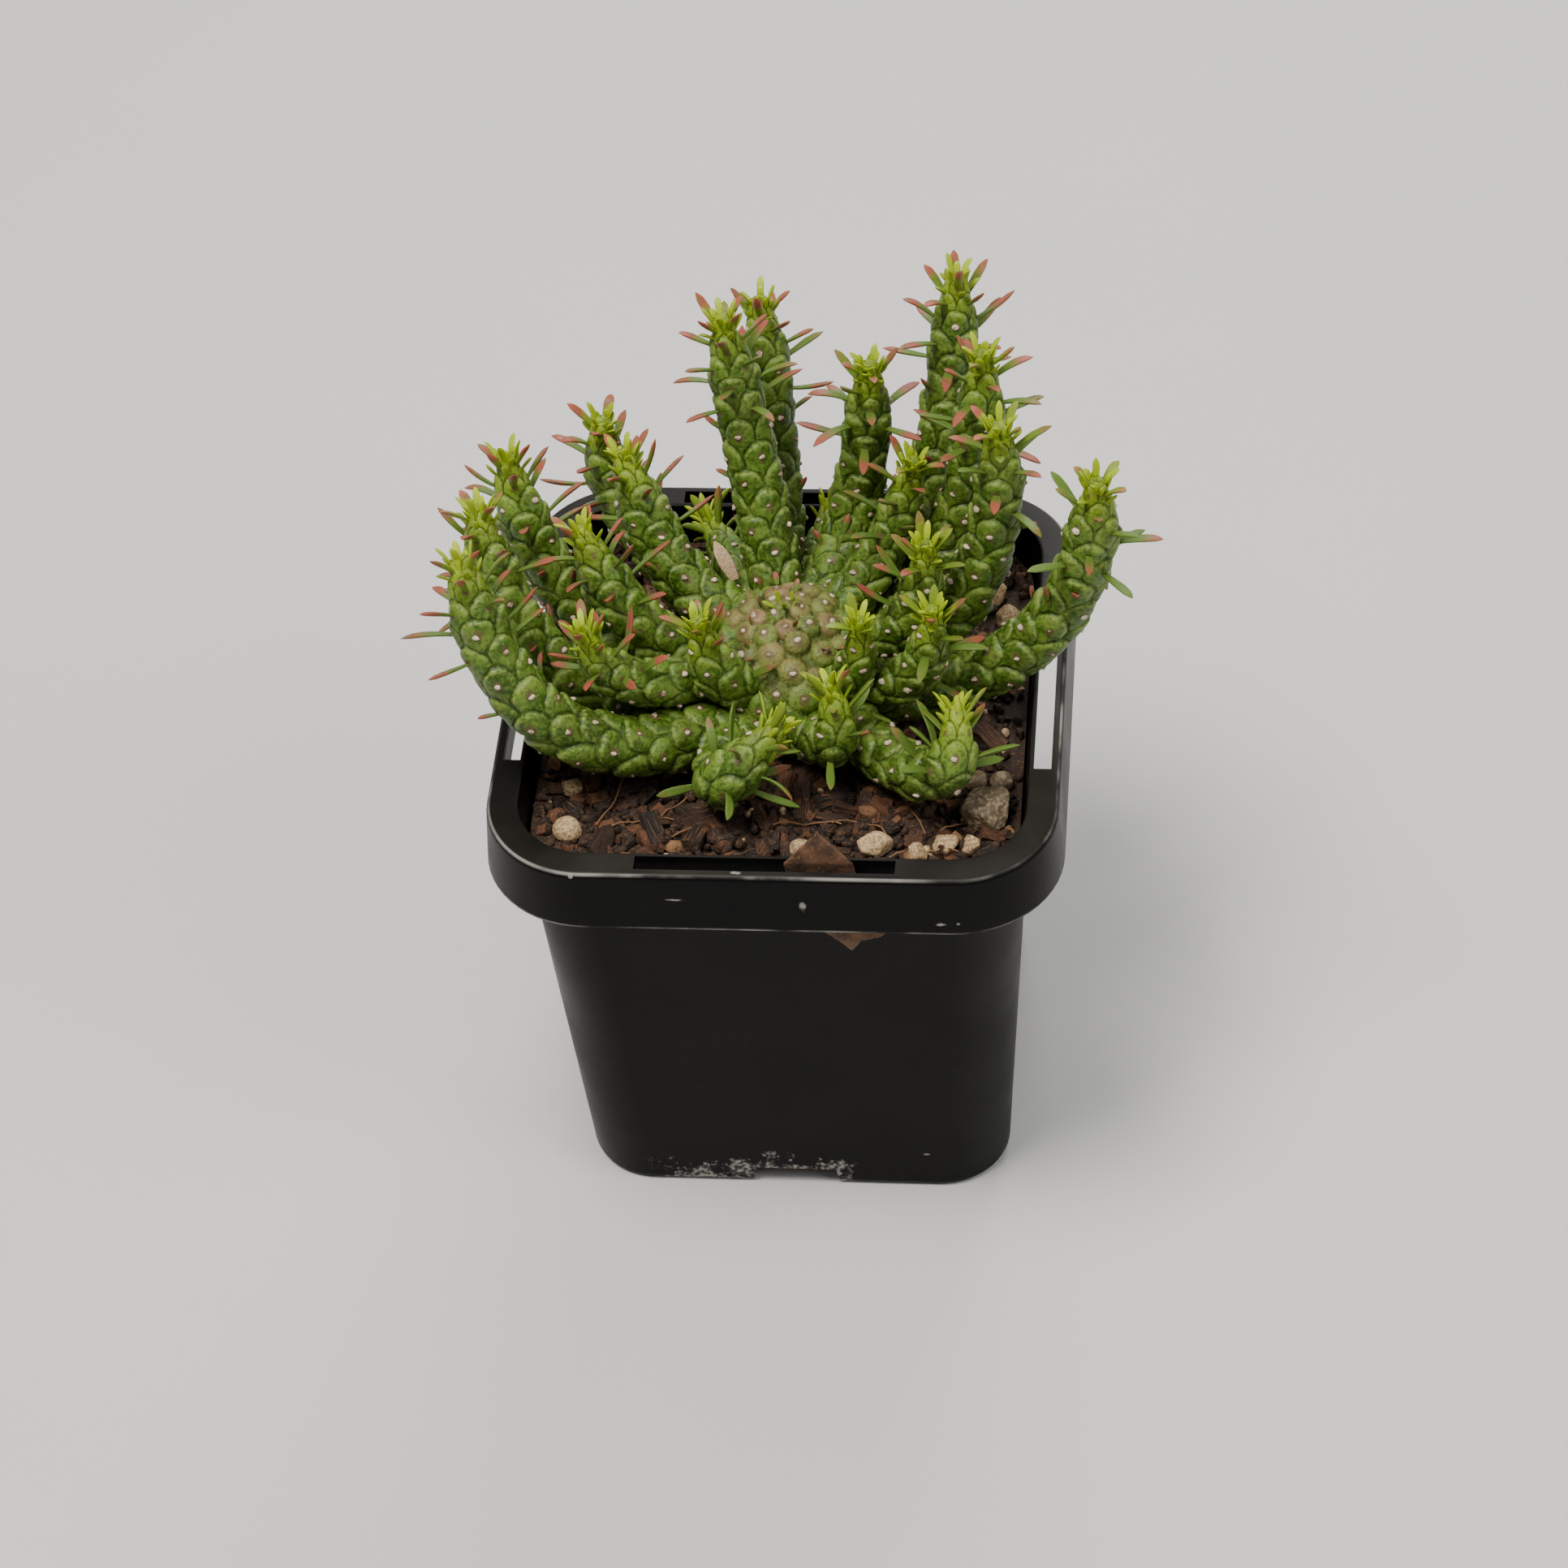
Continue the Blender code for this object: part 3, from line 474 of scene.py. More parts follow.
class Paint:
    """A material under construction, with its surface grain."""

    def __init__(self, name: str, coarse: float, fine: float, balance: float = 1.0) -> None:
        """Starts a material.

        Args:
            name: The material's name.
            coarse: Coarse noise scale, in waves per metre.
            fine: Fine noise scale, in waves per metre.
            balance: How much the coarse noise counts in the height.
        """
        self.material = bpy.data.materials.new(name)
        self.material.use_nodes = True
        self.sheet = Sheet(self.material.node_tree)
        scales = {"Coarse scale": coarse, "Fine scale": fine, "Balance": balance}
        grain = self.sheet.add("ShaderNodeGroup", scales, node_tree=grain_group())
        self.coarse, self.fine, self.height = grain["Coarse"], grain["Fine"], grain["Height"]

    def value(self, name: str) -> Term:
        """Reads a number stored on the mesh."""
        return self.sheet.add("ShaderNodeAttribute", attribute_name=name)["Fac"]

    def close(self, colour: Term, roughness: Any, height: Term, depth: float, **inputs: Any) -> Material:
        """Feeds the shader.

        Args:
            colour: The base colour.
            roughness: The roughness.
            height: What raises the surface.
            depth: How far, in metres.
            **inputs: The shader's other inputs, with underscores for spaces.

        Returns:
            The finished material.
        """
        shader = self.material.node_tree.nodes["Principled BSDF"]
        bump = self.sheet.add("ShaderNodeBump", {"Height": height, "Strength": 1.0, "Distance": depth})
        for name, value in {"Base_Color": colour, "Roughness": roughness, "Normal": bump, **inputs}.items():
            self.sheet.feed(shader.inputs[name.replace("_", " ")], value)
        return self.material


# Finishes
@dataclass(frozen=True)
class SkinFinish:
    """Waxy green skin, yellower towards a tip, darker between the scales (partly their dark outlines, partly painted
    shade), painted shade down its older parts, and pale along the scales' upper rims (partly their own tone, partly
    painted highlight).
    """

    name: str = "euphorbia_skin"
    old: Triple = (0.054, 0.114, 0.01)
    pale: Triple = (0.142, 0.228, 0.03)
    young: Triple = (0.27, 0.37, 0.008)
    dark_tone_and_shade: Triple = (0.014, 0.022, 0.003)
    rim: Triple = (0.24, 0.31, 0.065)
    scar_ring: Triple = (0.13, 0.085, 0.035)
    blush: Triple = (0.24, 0.125, 0.06)
    crown: Triple = (0.31, 0.165, 0.095)
    young_length: float = 8.0 * MM

    def material(self, on_arm: bool) -> Material:
        """Builds the material.

        Args:
            on_arm: Whether it reads the lattice of an arm or values stored on the head.

        Returns:
            The material.
        """
        paint = Paint(f"{self.name}_{'arm' if on_arm else 'head'}", 420.0, 1700.0, 0.6)
        sheet, coarse, fine, age = paint.sheet, paint.coarse, paint.fine, paint.value("age")
        if on_arm:
            row, column, _ = sheet.split(sheet.add("ShaderNodeUVMap", uv_map="scales"))
            masks = sheet.add("ShaderNodeGroup", {"Row": row, "Column": column},
                              node_tree=scale_pattern_group(SHADER))
            crown = ()
        else:
            masks = {name: paint.value(name.lower()) for name in ("Line", "Rim", "Scar", "Blush")}
            crown = ((masks["Blush"] * 0.85, self.crown),)
        colour = sheet.layers(
            self.old,
            (coarse.ramp(0.36, 0.66), self.pale),
            (coarse.ramp(0.6, 0.75, 0.0, 0.3), self.blush),
            # Painted shade: the older, lower part of each arm is darkened.
            (age.ramp(14 * MM, 42 * MM, 0.0, 0.2 if on_arm else 0.0), self.dark_tone_and_shade),
            (age.ramp(0.0, self.young_length, 0.9, 0.0), self.young))
        light = paint.value("tint").ramp(0.0, 1.0, 0.76, 1.22)
        shade = sheet.add("ShaderNodeCombineColor", {0: light, 1: light, 2: light})
        colour = sheet.layers(
            sheet.mix(1.0, colour, shade, "MULTIPLY"),
            (fine.ramp(0.5, 0.64, 0.0, 0.6), self.pale),
            (fine.ramp(0.36, 0.48, 0.45, 0.0), self.dark_tone_and_shade),
            *crown,
            # Pale upper rims of the scales: partly the skin's own tone, partly painted highlight.
            (masks["Rim"] * fine.ramp(0.38, 0.6, 0.25, 0.85), self.rim),
            (masks["Scar"].ramp(0.5 * MM, 0.9 * MM, 0.8, 0.0), self.scar_ring),
            # Painted shade, partly the scales' own dark outlines: the crease line between scales is darkened.
            (masks["Line"] * coarse.ramp(0.35, 0.65, 0.6, 0.27), self.dark_tone_and_shade))
        height = sheet.math("MULTIPLY_ADD", masks["Line"], -0.7, paint.height)
        return paint.close(colour, coarse.ramp(0.3, 0.7, 0.38, 0.52), height, 0.16 * MM, Specular_IOR_Level=0.27,
                           Subsurface_Weight=0.06, Subsurface_Radius=(0.6, 1.0, 0.2), Subsurface_Scale=0.7 * MM)


@dataclass(frozen=True)
class LeafFinish:
    """Narrow leaves, green at the foot and blushed red outwards, with young yellow-green ones."""

    name: str = "euphorbia_leaf"
    green: Triple = (0.1, 0.175, 0.022)
    red: Triple = (0.36, 0.07, 0.05)
    brown: Triple = (0.2, 0.1, 0.045)
    young: Triple = (0.37, 0.48, 0.01)
    fleck: Triple = (0.34, 0.3, 0.13)

    def material(self) -> Material:
        """Builds the material.

        Returns:
            The material.
        """
        paint = Paint(self.name, 600.0, 3200.0)
        sheet, coarse = paint.sheet, paint.coarse
        spread = paint.value("along").ramp(0.2, 1.0, 0.1, 2.0) * paint.value("blush")
        patchy = spread + coarse.ramp(0.3, 0.7, -0.2, 0.2)
        colour = sheet.layers(
            self.green,
            (paint.value("young"), self.young),
            (patchy.ramp(0.15, 0.95, 0.0, 0.92), sheet.mix(coarse.ramp(0.46, 0.68), self.red, self.brown)),
            (paint.fine.ramp(0.5, 0.8, 0.0, 0.3), self.fleck))
        return paint.close(colour, coarse.ramp(0.3, 0.7, 0.38, 0.5), paint.height, 0.04 * MM,
                           Specular_IOR_Level=0.3, Subsurface_Weight=0.12, Subsurface_Radius=(1.0, 0.8, 0.3),
                           Subsurface_Scale=0.6 * MM)


@dataclass(frozen=True)
class MatterFinish:
    """Loose matter such as bark, stone or soil, whose pieces differ in tint."""

    name: str
    dark: Triple
    light: Triple
    patch: Triple
    patch_share: float = 0.3
    coarse: float = 500.0
    fine: float = 2400.0
    depth: float = 0.15 * MM
    roughness: Pair = (0.75, 0.95)

    def material(self) -> Material:
        """Builds the material.

        Returns:
            The material.
        """
        paint = Paint(self.name, self.coarse, self.fine, 0.8)
        blend = paint.value("tint") * 0.7 + paint.coarse * 0.45
        patches = paint.fine.ramp(0.75 - self.patch_share, 0.95 - self.patch_share, 0.0, 0.8)
        colour = paint.sheet.layers(self.dark, (blend.ramp(0.15, 0.95), self.light), (patches, self.patch))
        return paint.close(colour, paint.fine.ramp(0.3, 0.7, *self.roughness), paint.height, self.depth)


SOIL_FINISH = MatterFinish("soil_crumb", (0.006, 0.003, 0.0018), (0.042, 0.02, 0.01), (0.14, 0.068, 0.03), 0.25)
PUMICE_FINISH = MatterFinish("pumice_grain", (0.17, 0.09, 0.036), (0.4, 0.25, 0.12), (0.64, 0.48, 0.27), 0.34, 700.0)
STONE_FINISH = MatterFinish("grey_grit", (0.075, 0.05, 0.026), (0.27, 0.195, 0.115), (0.46, 0.36, 0.23), 0.29, 420.0,
                            1500.0, 0.2 * MM, (0.45, 0.8))
SLIVER_FINISH = MatterFinish("dry_sliver", (0.93, 0.61, 0.36), (0.96, 0.66, 0.42), (1.0, 0.88, 0.68), 0.25, 500.0)
SCAR_FINISH = MatterFinish("leaf_scar", (0.2, 0.12, 0.06), (0.62, 0.5, 0.33), (0.85, 0.8, 0.66), 0.26, 1500.0,
                           5000.0, 0.05 * MM, (0.35, 0.6))


@dataclass(frozen=True)
class BarkFinish:
    """Composted bark, streaked along the grain of each piece, from near black to rust brown."""

    name: str = "bark_flake"
    dark: Triple = (0.01, 0.005, 0.003)
    rust: Triple = (0.125, 0.044, 0.017)
    tan: Triple = (0.28, 0.145, 0.062)

    def material(self) -> Material:
        """Builds the material.

        Returns:
            The material.
        """
        paint = Paint(self.name, 700.0, 3000.0, 0.8)
        sheet, fine, tint = paint.sheet, paint.fine, paint.value("tint")
        along = sheet.add("ShaderNodeAttribute", attribute_name="local")["Vector"]
        along = sheet.vector("ADD", sheet.vector("MULTIPLY", along, (1.4, 9.0, 6.0)), sheet.join(tint * 40.0))
        fibres = sheet.waves(along, 1.3, 4.0)
        colour = sheet.layers(
            self.dark,
            (tint.ramp(0.25, 0.92), self.rust),
            (tint.ramp(0.8, 0.94, 0.0, 0.85), self.tan),
            (fibres.ramp(0.48, 0.7, 0.0, 0.45), self.tan),
            (fibres.ramp(0.3, 0.46, 0.6, 0.0), self.dark),
            (fine.ramp(0.56, 0.74, 0.0, 0.45), self.dark))
        return paint.close(colour, fine.ramp(0.3, 0.7, 0.7, 0.9), fibres * 1.5 + paint.height, 0.16 * MM)


@dataclass(frozen=True)
class PlasticFinish:
    """Black moulded plastic, rubbed pale along the rim with a painted highlight there and on the hem, dusty on top
    and limed at the foot, with a painted glint on the front lip.
    """

    name: str = "nursery_pot_plastic"
    black: Triple = (0.0022, 0.0022, 0.0023)
    wear_and_highlight: Triple = (0.3, 0.285, 0.26)
    dust: Triple = (0.03, 0.026, 0.021)
    lime_and_glint: Triple = (0.4, 0.38, 0.34)
    marks: tuple[tuple[Triple, Triple], ...] = (
        ((5.4, -40.4, 70.7), (0.75, 1.2, 1.1)),
        ((-12.5, -40.4, 71.5), (1.7, 1.2, 0.22)),
        ((24.2, -40.6, 67.9), (1.0, 1.2, 0.35)),
        ((26.6, -40.6, 68.0), (0.35, 1.2, 0.3)),
        ((40.4, -10.4, 75.8), (0.5, 0.8, 0.5)),
        # This mark along the inner edge of the front lip is a painted glint, not a splash.
        ((-0.9, -35.3, 75.5), (3.4, 0.35, 0.6)),
        ((-3.9, -38.9, 75.8), (1.1, 0.4, 0.5)),
        ((19.8, -32.0, 7.9), (0.7, 1.2, 0.3)),
        ((-31.5, -33.0, 74.9), (0.5, 1.2, 0.4)))

    def spots(self, sheet: Sheet, place: Term) -> Term:
        """Dried splashes and scratches at their own places, and a painted glint along the front lip's inner edge.

        Args:
            sheet: The material's sheet.
            place: The point.

        Returns:
            Their mask.
        """
        ragged = sheet.waves(place, 900.0, 3.0)
        mask: Any = 0.0
        for centre, size in self.marks:
            away = sheet.vector("DIVIDE", sheet.vector("SUBTRACT", place, mm(*centre)), mm(*size))
            near = sheet.math("MULTIPLY_ADD", ragged, 1.6, sheet.vector("LENGTH", away)["Value"])
            mask = sheet.math("MAXIMUM", mask, near.ramp(1.1, 1.7, 0.7, 0.0))
        return mask

    def edge_wear_and_highlight(self, sheet: Sheet, place: Term, z: Term) -> Term:
        """Where the rim's outer edge and the skirt's hem are pale, partly rubbed and partly painted highlight.

        Args:
            sheet: The material's sheet.
            place: The point.
            z: Its height.

        Returns:
            The mask.
        """
        straight = RIM_HALF - RIM_CORNER
        flat = sheet.vector("MULTIPLY", sheet.vector("ABSOLUTE", place), (1.0, 1.0, 0.0))
        past = sheet.vector("MAXIMUM", sheet.vector("SUBTRACT", flat, (straight, straight, 0.0)), (0.0, 0.0, 0.0))
        outer = (sheet.vector("LENGTH", past)["Value"] - RIM_CORNER).ramp(-0.66 * MM, -0.4 * MM)
        streaks = sheet.waves(place, 75.0, 5.0).ramp(0.42, 0.62, 0.06, 0.9)
        hem = POT_HEIGHT - SKIRT_HEIGHT
        above, below = z.ramp(hem - 0.6 * MM, hem - 0.2 * MM), z.ramp(hem + 0.35 * MM, hem + 0.65 * MM, 1.0, 0.0)
        # Rim edge band: rubbed plastic and painted highlight together.
        rim = z.ramp(POT_HEIGHT - 0.5 * MM, POT_HEIGHT - 0.22 * MM) * outer * streaks
        return sheet.math("MAXIMUM", rim, below * above * streaks * 0.9)

    def crust(self, sheet: Sheet, place: Term) -> Term:
        """Lime that dried at the foot of the front, over the notch and to its left.

        Args:
            sheet: The material's sheet.
            place: The point.

        Returns:
            The mask.
        """
        x, y, z = sheet.split(place)
        front = y.ramp(-FOOT_HALF + 4 * MM, -FOOT_HALF + 1.5 * MM)
        arch = abs(x).ramp(7.0 * MM, 11.0 * MM, 2.4 * MM, 0.0)
        low = (z - arch).ramp(0.8 * MM, 6.5 * MM, 1.0, 0.0)
        beside = x.ramp(-26 * MM, -19 * MM) * x.ramp(7.5 * MM, 10.5 * MM, 1.0, 0.0)
        where = front * low * beside
        limed = (sheet.waves(place, 340.0, 6.0, Roughness=0.75) + where * 0.17).ramp(0.6, 0.68)
        limed = limed * sheet.waves(place, 1300.0, 3.0).ramp(0.42, 0.6, 0.12, 1.0)
        return limed * sheet.math("MINIMUM", where * 3.0, 1.0)

    def material(self) -> Material:
        """Builds the material.

        Returns:
            The material.
        """
        paint = Paint(self.name, 60.0, 1900.0, 0.3)
        sheet, coarse = paint.sheet, paint.coarse
        place = sheet.add("ShaderNodeTexCoord")["Object"]
        z = sheet.split(place)[2]
        specks = sheet.add("ShaderNodeGroup", {"Scale": 300.0, "Size": 0.1, "Share": 0.04}, node_tree=speck_group())
        # The pale marks hold specks, splashes, scratches, limed crust and one painted glint.
        pale = sheet.math("MAXIMUM", specks * 0.6, self.spots(sheet, place))
        pale = sheet.math("MAXIMUM", self.crust(sheet, place) * 0.85, pale)
        dusty = z.ramp(POT_HEIGHT - 0.25 * MM, POT_HEIGHT - 0.1 * MM) * coarse.ramp(0.3, 0.7, 0.25, 0.8)
        colour = sheet.layers(self.black, (dusty, self.dust), (self.edge_wear_and_highlight(sheet, place, z), self.wear_and_highlight),
                              (pale, self.lime_and_glint))
        roughness = coarse.ramp(0.3, 0.7, 0.34, 0.46) + pale * 0.4
        return paint.close(colour, roughness, paint.height, 0.02 * MM, Specular_IOR_Level=0.1)


@dataclass(frozen=True)
class DryLeafFinish:
    """A papery brown leaf with pale veins."""

    name: str = "dry_leaf"
    dark: Triple = (0.042, 0.019, 0.01)
    light: Triple = (0.18, 0.085, 0.038)
    veins: Triple = (0.3, 0.17, 0.075)

    def material(self) -> Material:
        """Builds the material.

        Returns:
            The material.
        """
        paint = Paint(self.name, 260.0, 1700.0)
        colour = paint.sheet.layers(self.dark, (paint.coarse.ramp(0.3, 0.7), self.light),
                                    (paint.fine.ramp(0.55, 0.75, 0.0, 0.6), self.veins))
        return paint.close(colour, 0.8, paint.height, 0.12 * MM)


@dataclass(frozen=True)
class FloorFinish:
    """Plain pale studio paper."""

    name: str = "studio_paper"
    colour: Triple = (0.7, 0.69, 0.67)

    def material(self) -> Material:
        """Builds the material.

        Returns:
            The material.
        """
        paint = Paint(self.name, 30.0, 900.0, 0.2)
        colour = paint.sheet.mix(paint.coarse, self.colour, tuple(0.97 * part for part in self.colour))
        return paint.close(colour, 0.9, paint.height, 0.02 * MM)


# Pot sizes
POT_HEIGHT = 75.8 * MM
RIM_HALF = 40.0 * MM
RIM_CORNER = 14.6 * MM
RIM_ROUND = 0.9 * MM
MOUTH_HALF = 35.4 * MM
MOUTH_ROUND = 0.5 * MM
LIP_PLATE = 1.2 * MM
SKIRT_HEIGHT = 10.0 * MM
SKIRT_WALL = 1.1 * MM
SKIRT_FLARE = 0.7 * MM
SKIRT_HEM = 0.25 * MM
SHOULDER_HALF = 35.9 * MM
FOOT_HALF = 31.5 * MM
FOOT_ROUND = 1.2 * MM
BODY_CORNER = 10.0 * MM
WALL = 0.9 * MM
FLOOR = 1.3 * MM
SLOT = mm(36.0, 2.5)
SLOT_CENTRE = 37.35 * MM
NOTCH_WIDTHS = mm(14.7, 11.8)
NOTCH_HEIGHT = 3.5 * MM
NOTCH_INNER = 24.0 * MM

# Soil and head sizes, with the head's outline as radius and height from its foot to its crown
SEAT_GAP = 0.3 * MM
NEIGHBOUR_GAP = 0.5 * MM
SOIL_TOP = 69.6 * MM
HEAD_CENTRE = np.array([0.5, 1.0, 0.0]) * MM
HEAD_OUTLINE = np.array([(5.5, 57.0), (10.5, 60.5), (12.6, 66.0), (13.0, 71.0), (12.8, 76.0), (11.4, 80.2),
                         (8.8, 83.6), (5.6, 86.0), (2.2, 87.2), (0.0, 88.2)]) * MM
HEAD_TUBERCLE_LIFT = 1.7 * MM
HEAD_HOLE_GAP = 0.45 * MM

# Arm sizes
ARM_COLUMNS = 8
COLUMN_STEPS = 11
ROW_STEPS = 10
ROW_SPACING = 3.85 * MM
ROW_SPACING_TIP = 0.62
ROW_TWIST = math.radians(3)
GROOVE = 0.69
APEX = 1.05
APEX_FORWARD = 0.45
TAPER = 0.16
TIP_TAPER_LENGTH = 13.0 * MM
TIP_RADIUS = 0.35
TIP_HEIGHT = 0.6 * MM
ROSETTE_REACH = 2.5 * MM
PATH_STEPS = 96
LOW_ROOT = (9.0, 75.0)
HIGH_ROOT = (6.0, 81.0)

# Scales: half width in columns, length of foot and top in rows, and how they swell
SCALE_WIDTH = 0.95
SCALE_MIDDLE = 0.25
SCALE_FOOT = 1.75
SCALE_TOP = 0.8
SCALE_POWER = 2.1
SCALE_SLOPE = 0.37
SCALE_RIDGE = 0.32
SCAR_REACH = mm(3.6, 3.3)

# Leaf sizes
LEAF_LENGTH = 6.6 * MM
LEAF_WIDTH = 1.5 * MM
LEAF_KEEL = 0.75 * MM
LEAF_SINK = 1.0 * MM
LEAF_BELLY = 0.55
LEAF_BEND = 0.6
LEAF_YOUNG_PART = 0.62
LEAF_FULL_LENGTH_FROM = 9.0 * MM
LEAF_SPREAD = (38, 50)
LEAF_SPREAD_DRAW = 8
LEAF_DROOP = (-0.05, 0.16)
LEAF_LENGTH_DRAW = (0.85, 1.1)
LEAFY_LENGTH = 15.0 * MM
LEAF_YOUNG_LENGTH = 5.0 * MM
LEAF_CHANCE = 0.52
LEAF_CHANCE_EXTRA = 0.55
LEAF_CLEARANCE = 1.3 * MM
LEAF_STATIONS = 10
LEAF_OUTLINE = ((0.0, 0.25, 0.6, 0.82, 0.94, 1.0), (0.56, 0.78, 1.0, 0.86, 0.5, 0.13))
ROSETTE_LEAVES = 4
ROSETTE_LENGTH = 3.2 * MM
ROSETTE_WIDTH = 1.05 * MM
ROSETTE_ROOT = 0.2 * MM
ROSETTE_SPREAD = math.radians(27)


def unit(vector: np.ndarray) -> np.ndarray:
    """Scales one vector, or a row for each, to length one."""
    return vector / np.linalg.norm(vector, axis=-1, keepdims=True)


def around_head(heading: float, reach: float, height: float) -> np.ndarray:
    """A point in metres, given by degrees from +X towards +Y round the head's axis and by millimetres."""
    angle = math.radians(heading)
    return HEAD_CENTRE + np.array([reach * math.cos(angle), reach * math.sin(angle), height]) * MM


def head_radius(height: Any) -> Any:
    """Radius of the head at one or more heights."""
    return np.interp(height, HEAD_OUTLINE[:, 1], HEAD_OUTLINE[:, 0], right=0.0)


# Geometry node trees
def scale_group(kind: str) -> Tree:
    """The shape of one scale, which rises to its upper rim and overhangs the next scales there.

    Args:
        kind: The kind of tree that it is used in.

    Returns:
        The group.
    """
    sheet = Sheet.start("one scale", kind, "Cover Height Line Rim Scar", Float="Row_offset Column_offset")
    row, column, _ = sheet.add("NodeGroupInput")
    past = row - SCALE_MIDDLE
    above = sheet.math("GREATER_THAN", past, 0.0)
    along = abs(past) / sheet.math("MULTIPLY_ADD", above, SCALE_TOP - SCALE_FOOT, SCALE_FOOT)
    across = abs(column) / SCALE_WIDTH
    inside = 1.0 - (along ** SCALE_POWER + across ** SCALE_POWER)
    from_scar = row - APEX_FORWARD
    slope = sheet.math("MULTIPLY_ADD", from_scar, SCALE_SLOPE, 1.0)
    pillow = sheet.math("MULTIPLY_ADD", across * across, -SCALE_RIDGE, 1.0)
    place = sheet.join(from_scar * SCAR_REACH[0], column * SCAR_REACH[1])
    return sheet.give(
        Cover=inside.ramp(-0.18, 0.22),
        Height=slope * pillow * inside.ramp(-0.1, 0.7, 0.8, 1.0),
        # Line marks the crease round each scale: sunk in the geometry, and darkened in the skin shader as painted
        # shade, partly the scales' own dark outline.
        Line=inside.ramp(-0.36, -0.12) * inside.ramp(-0.1, 0.1, 1.0, 0.0),
        # Rim: the pale band along a scale's upper rim, partly its own tone and partly painted highlight.
        Rim=inside.ramp(0.0, 0.12) * inside.ramp(0.12, 0.5, 1.0, 0.0) * row.ramp(0.0, 0.75),
        Scar=sheet.vector("LENGTH", place)["Value"])


def scale_pattern_group(kind: str) -> Tree:
    """Scales all over a skin, each one's rim lying over the foot of the next.

    Args:
        kind: The kind of tree that it is used in.

    Returns:
        The group.
    """
    sheet = Sheet.start("scale pattern", kind, "Height Line Rim Scar Tint", Float="Row Column Seed Unevenness")
    row, column, seed, unevenness, _ = sheet.add("NodeGroupInput")
    group = scale_group(kind)
    base = [sheet.math("FLOOR", half * 0.5) for half in (row + column, row - column)]
    kept: dict[str, Any] = {"Height": 0.0, "Line": 1.0, "Rim": 0.0, "Scar": 1.0, "Tint": 0.5}
    for steps in ((1.0, 1.0), (1.0, 0.0), (0.0, 1.0), (0.0, 0.0)):
        first, second = (half + step for half, step in zip(base, steps))
        own_row, own_column = first + second, first - second
        scale = sheet.add(kind.replace("Tree", "Group"), {"Row offset": row - own_row,
                                                          "Column offset": column - own_column}, node_tree=group)
        key = sheet.join(own_row, sheet.math("FLOORED_MODULO", own_column, float(ARM_COLUMNS)), seed)
        chance = sheet.add("ShaderNodeTexWhiteNoise", {"Vector": key}, noise_dimensions="3D")
        swell = sheet.math("MULTIPLY_ADD", chance - 0.5, unevenness, 1.0)
        own = {"Height": scale["Height"] * swell, "Line": 0.0, "Rim": scale["Rim"], "Scar": scale["Scar"],
               "Tint": chance}
        for name, value in own.items():
            change = sheet.math("SUBTRACT", value, kept[name])
            kept[name] = sheet.math("MULTIPLY_ADD", change, scale["Cover"], kept[name])
        kept["Line"] = sheet.math("MAXIMUM", kept["Line"], scale["Line"])
    return sheet.give(**kept)


@cache
def scaly_skin_tree() -> Tree:
    """Raises scales on a tube whose points know their row, column and outward reach.

    Returns:
        The tree.
    """
    sheet = Sheet.start("scaly skin", GEOMETRY, "Geometry", Geometry="Geometry", Material="Material",
                        Float="Lift Unevenness Crease Dents Dent_scale Seed")
    given = sheet.add("NodeGroupInput")
    inputs = {"Row": sheet.named("row"), "Column": sheet.named("column"), "Seed": given["Seed"],
              "Unevenness": given["Unevenness"]}
    pattern = sheet.add("GeometryNodeGroup", inputs, node_tree=scale_pattern_group(GEOMETRY))
    dents = sheet.waves(sheet.add("GeometryNodeInputPosition"), given["Dent scale"], 3.0)
    height = pattern["Height"] - pattern["Line"] * given["Crease"] + (dents - 0.5) * given["Dents"]
    reach = sheet.vector("SCALE", sheet.named("out", "FLOAT_VECTOR"), Scale=height * given["Lift"])
    moved = sheet.add("GeometryNodeSetPosition", {"Geometry": given["Geometry"], "Offset": reach})
    return sheet.give_piece(sheet.store(moved, "tint", pattern["Tint"]), given["Material"])


@cache
def blade_tree() -> Tree:
    """Skins centre lines with a shallow channelled section, closed at both ends.

    Returns:
        The tree.
    """
    sheet = Sheet.start("leaf blades", GEOMETRY, "Geometry", Geometry="Geometry", Material="Material",
                        Int="Section_points", Float="Thickness Channel")
    given = sheet.add("NodeGroupInput")
    circle = sheet.add("GeometryNodeCurvePrimitiveCircle", {"Resolution": given["Section points"], "Radius": 1.0})
    x, y, _ = sheet.split(sheet.add("GeometryNodeInputPosition"))
    depth = sheet.math("MULTIPLY_ADD", x, given["Thickness"], y * y * given["Channel"])
    section = sheet.add("GeometryNodeSetPosition", {"Geometry": circle["Curve"], "Position": sheet.join(depth, y)})
    lines = sheet.add("GeometryNodeMeshToCurve", {"Mesh": given["Geometry"]})
    turned = sheet.add("GeometryNodeSetCurveNormal", {"Curve": lines, "Normal": sheet.named("face", "FLOAT_VECTOR")},
                       mode="FREE")
    skin = sheet.add("GeometryNodeCurveToMesh", {"Curve": turned, "Profile Curve": section, "Fill Caps": True,
                                                 "Scale": sheet.named("half_width")})
    return sheet.give_piece(skin, given["Material"])


class Grain(Enum):
    """What a scatter tree strews: the node that makes one piece, and its inputs."""

    FLAKE = ("MeshCube", {"Size": (1.0, 1.0, 1.0), "Vertices X": 6, "Vertices Y": 4, "Vertices Z": 3})
    CRUMB = ("MeshUVSphere", {"Radius": 0.5, "Segments": 7, "Rings": 5})
    LUMP = ("MeshIcoSphere", {"Radius": 0.5, "Subdivisions": 2})
    SCAR = ("MeshUVSphere", {"Radius": 0.5, "Segments": 8, "Rings": 5})


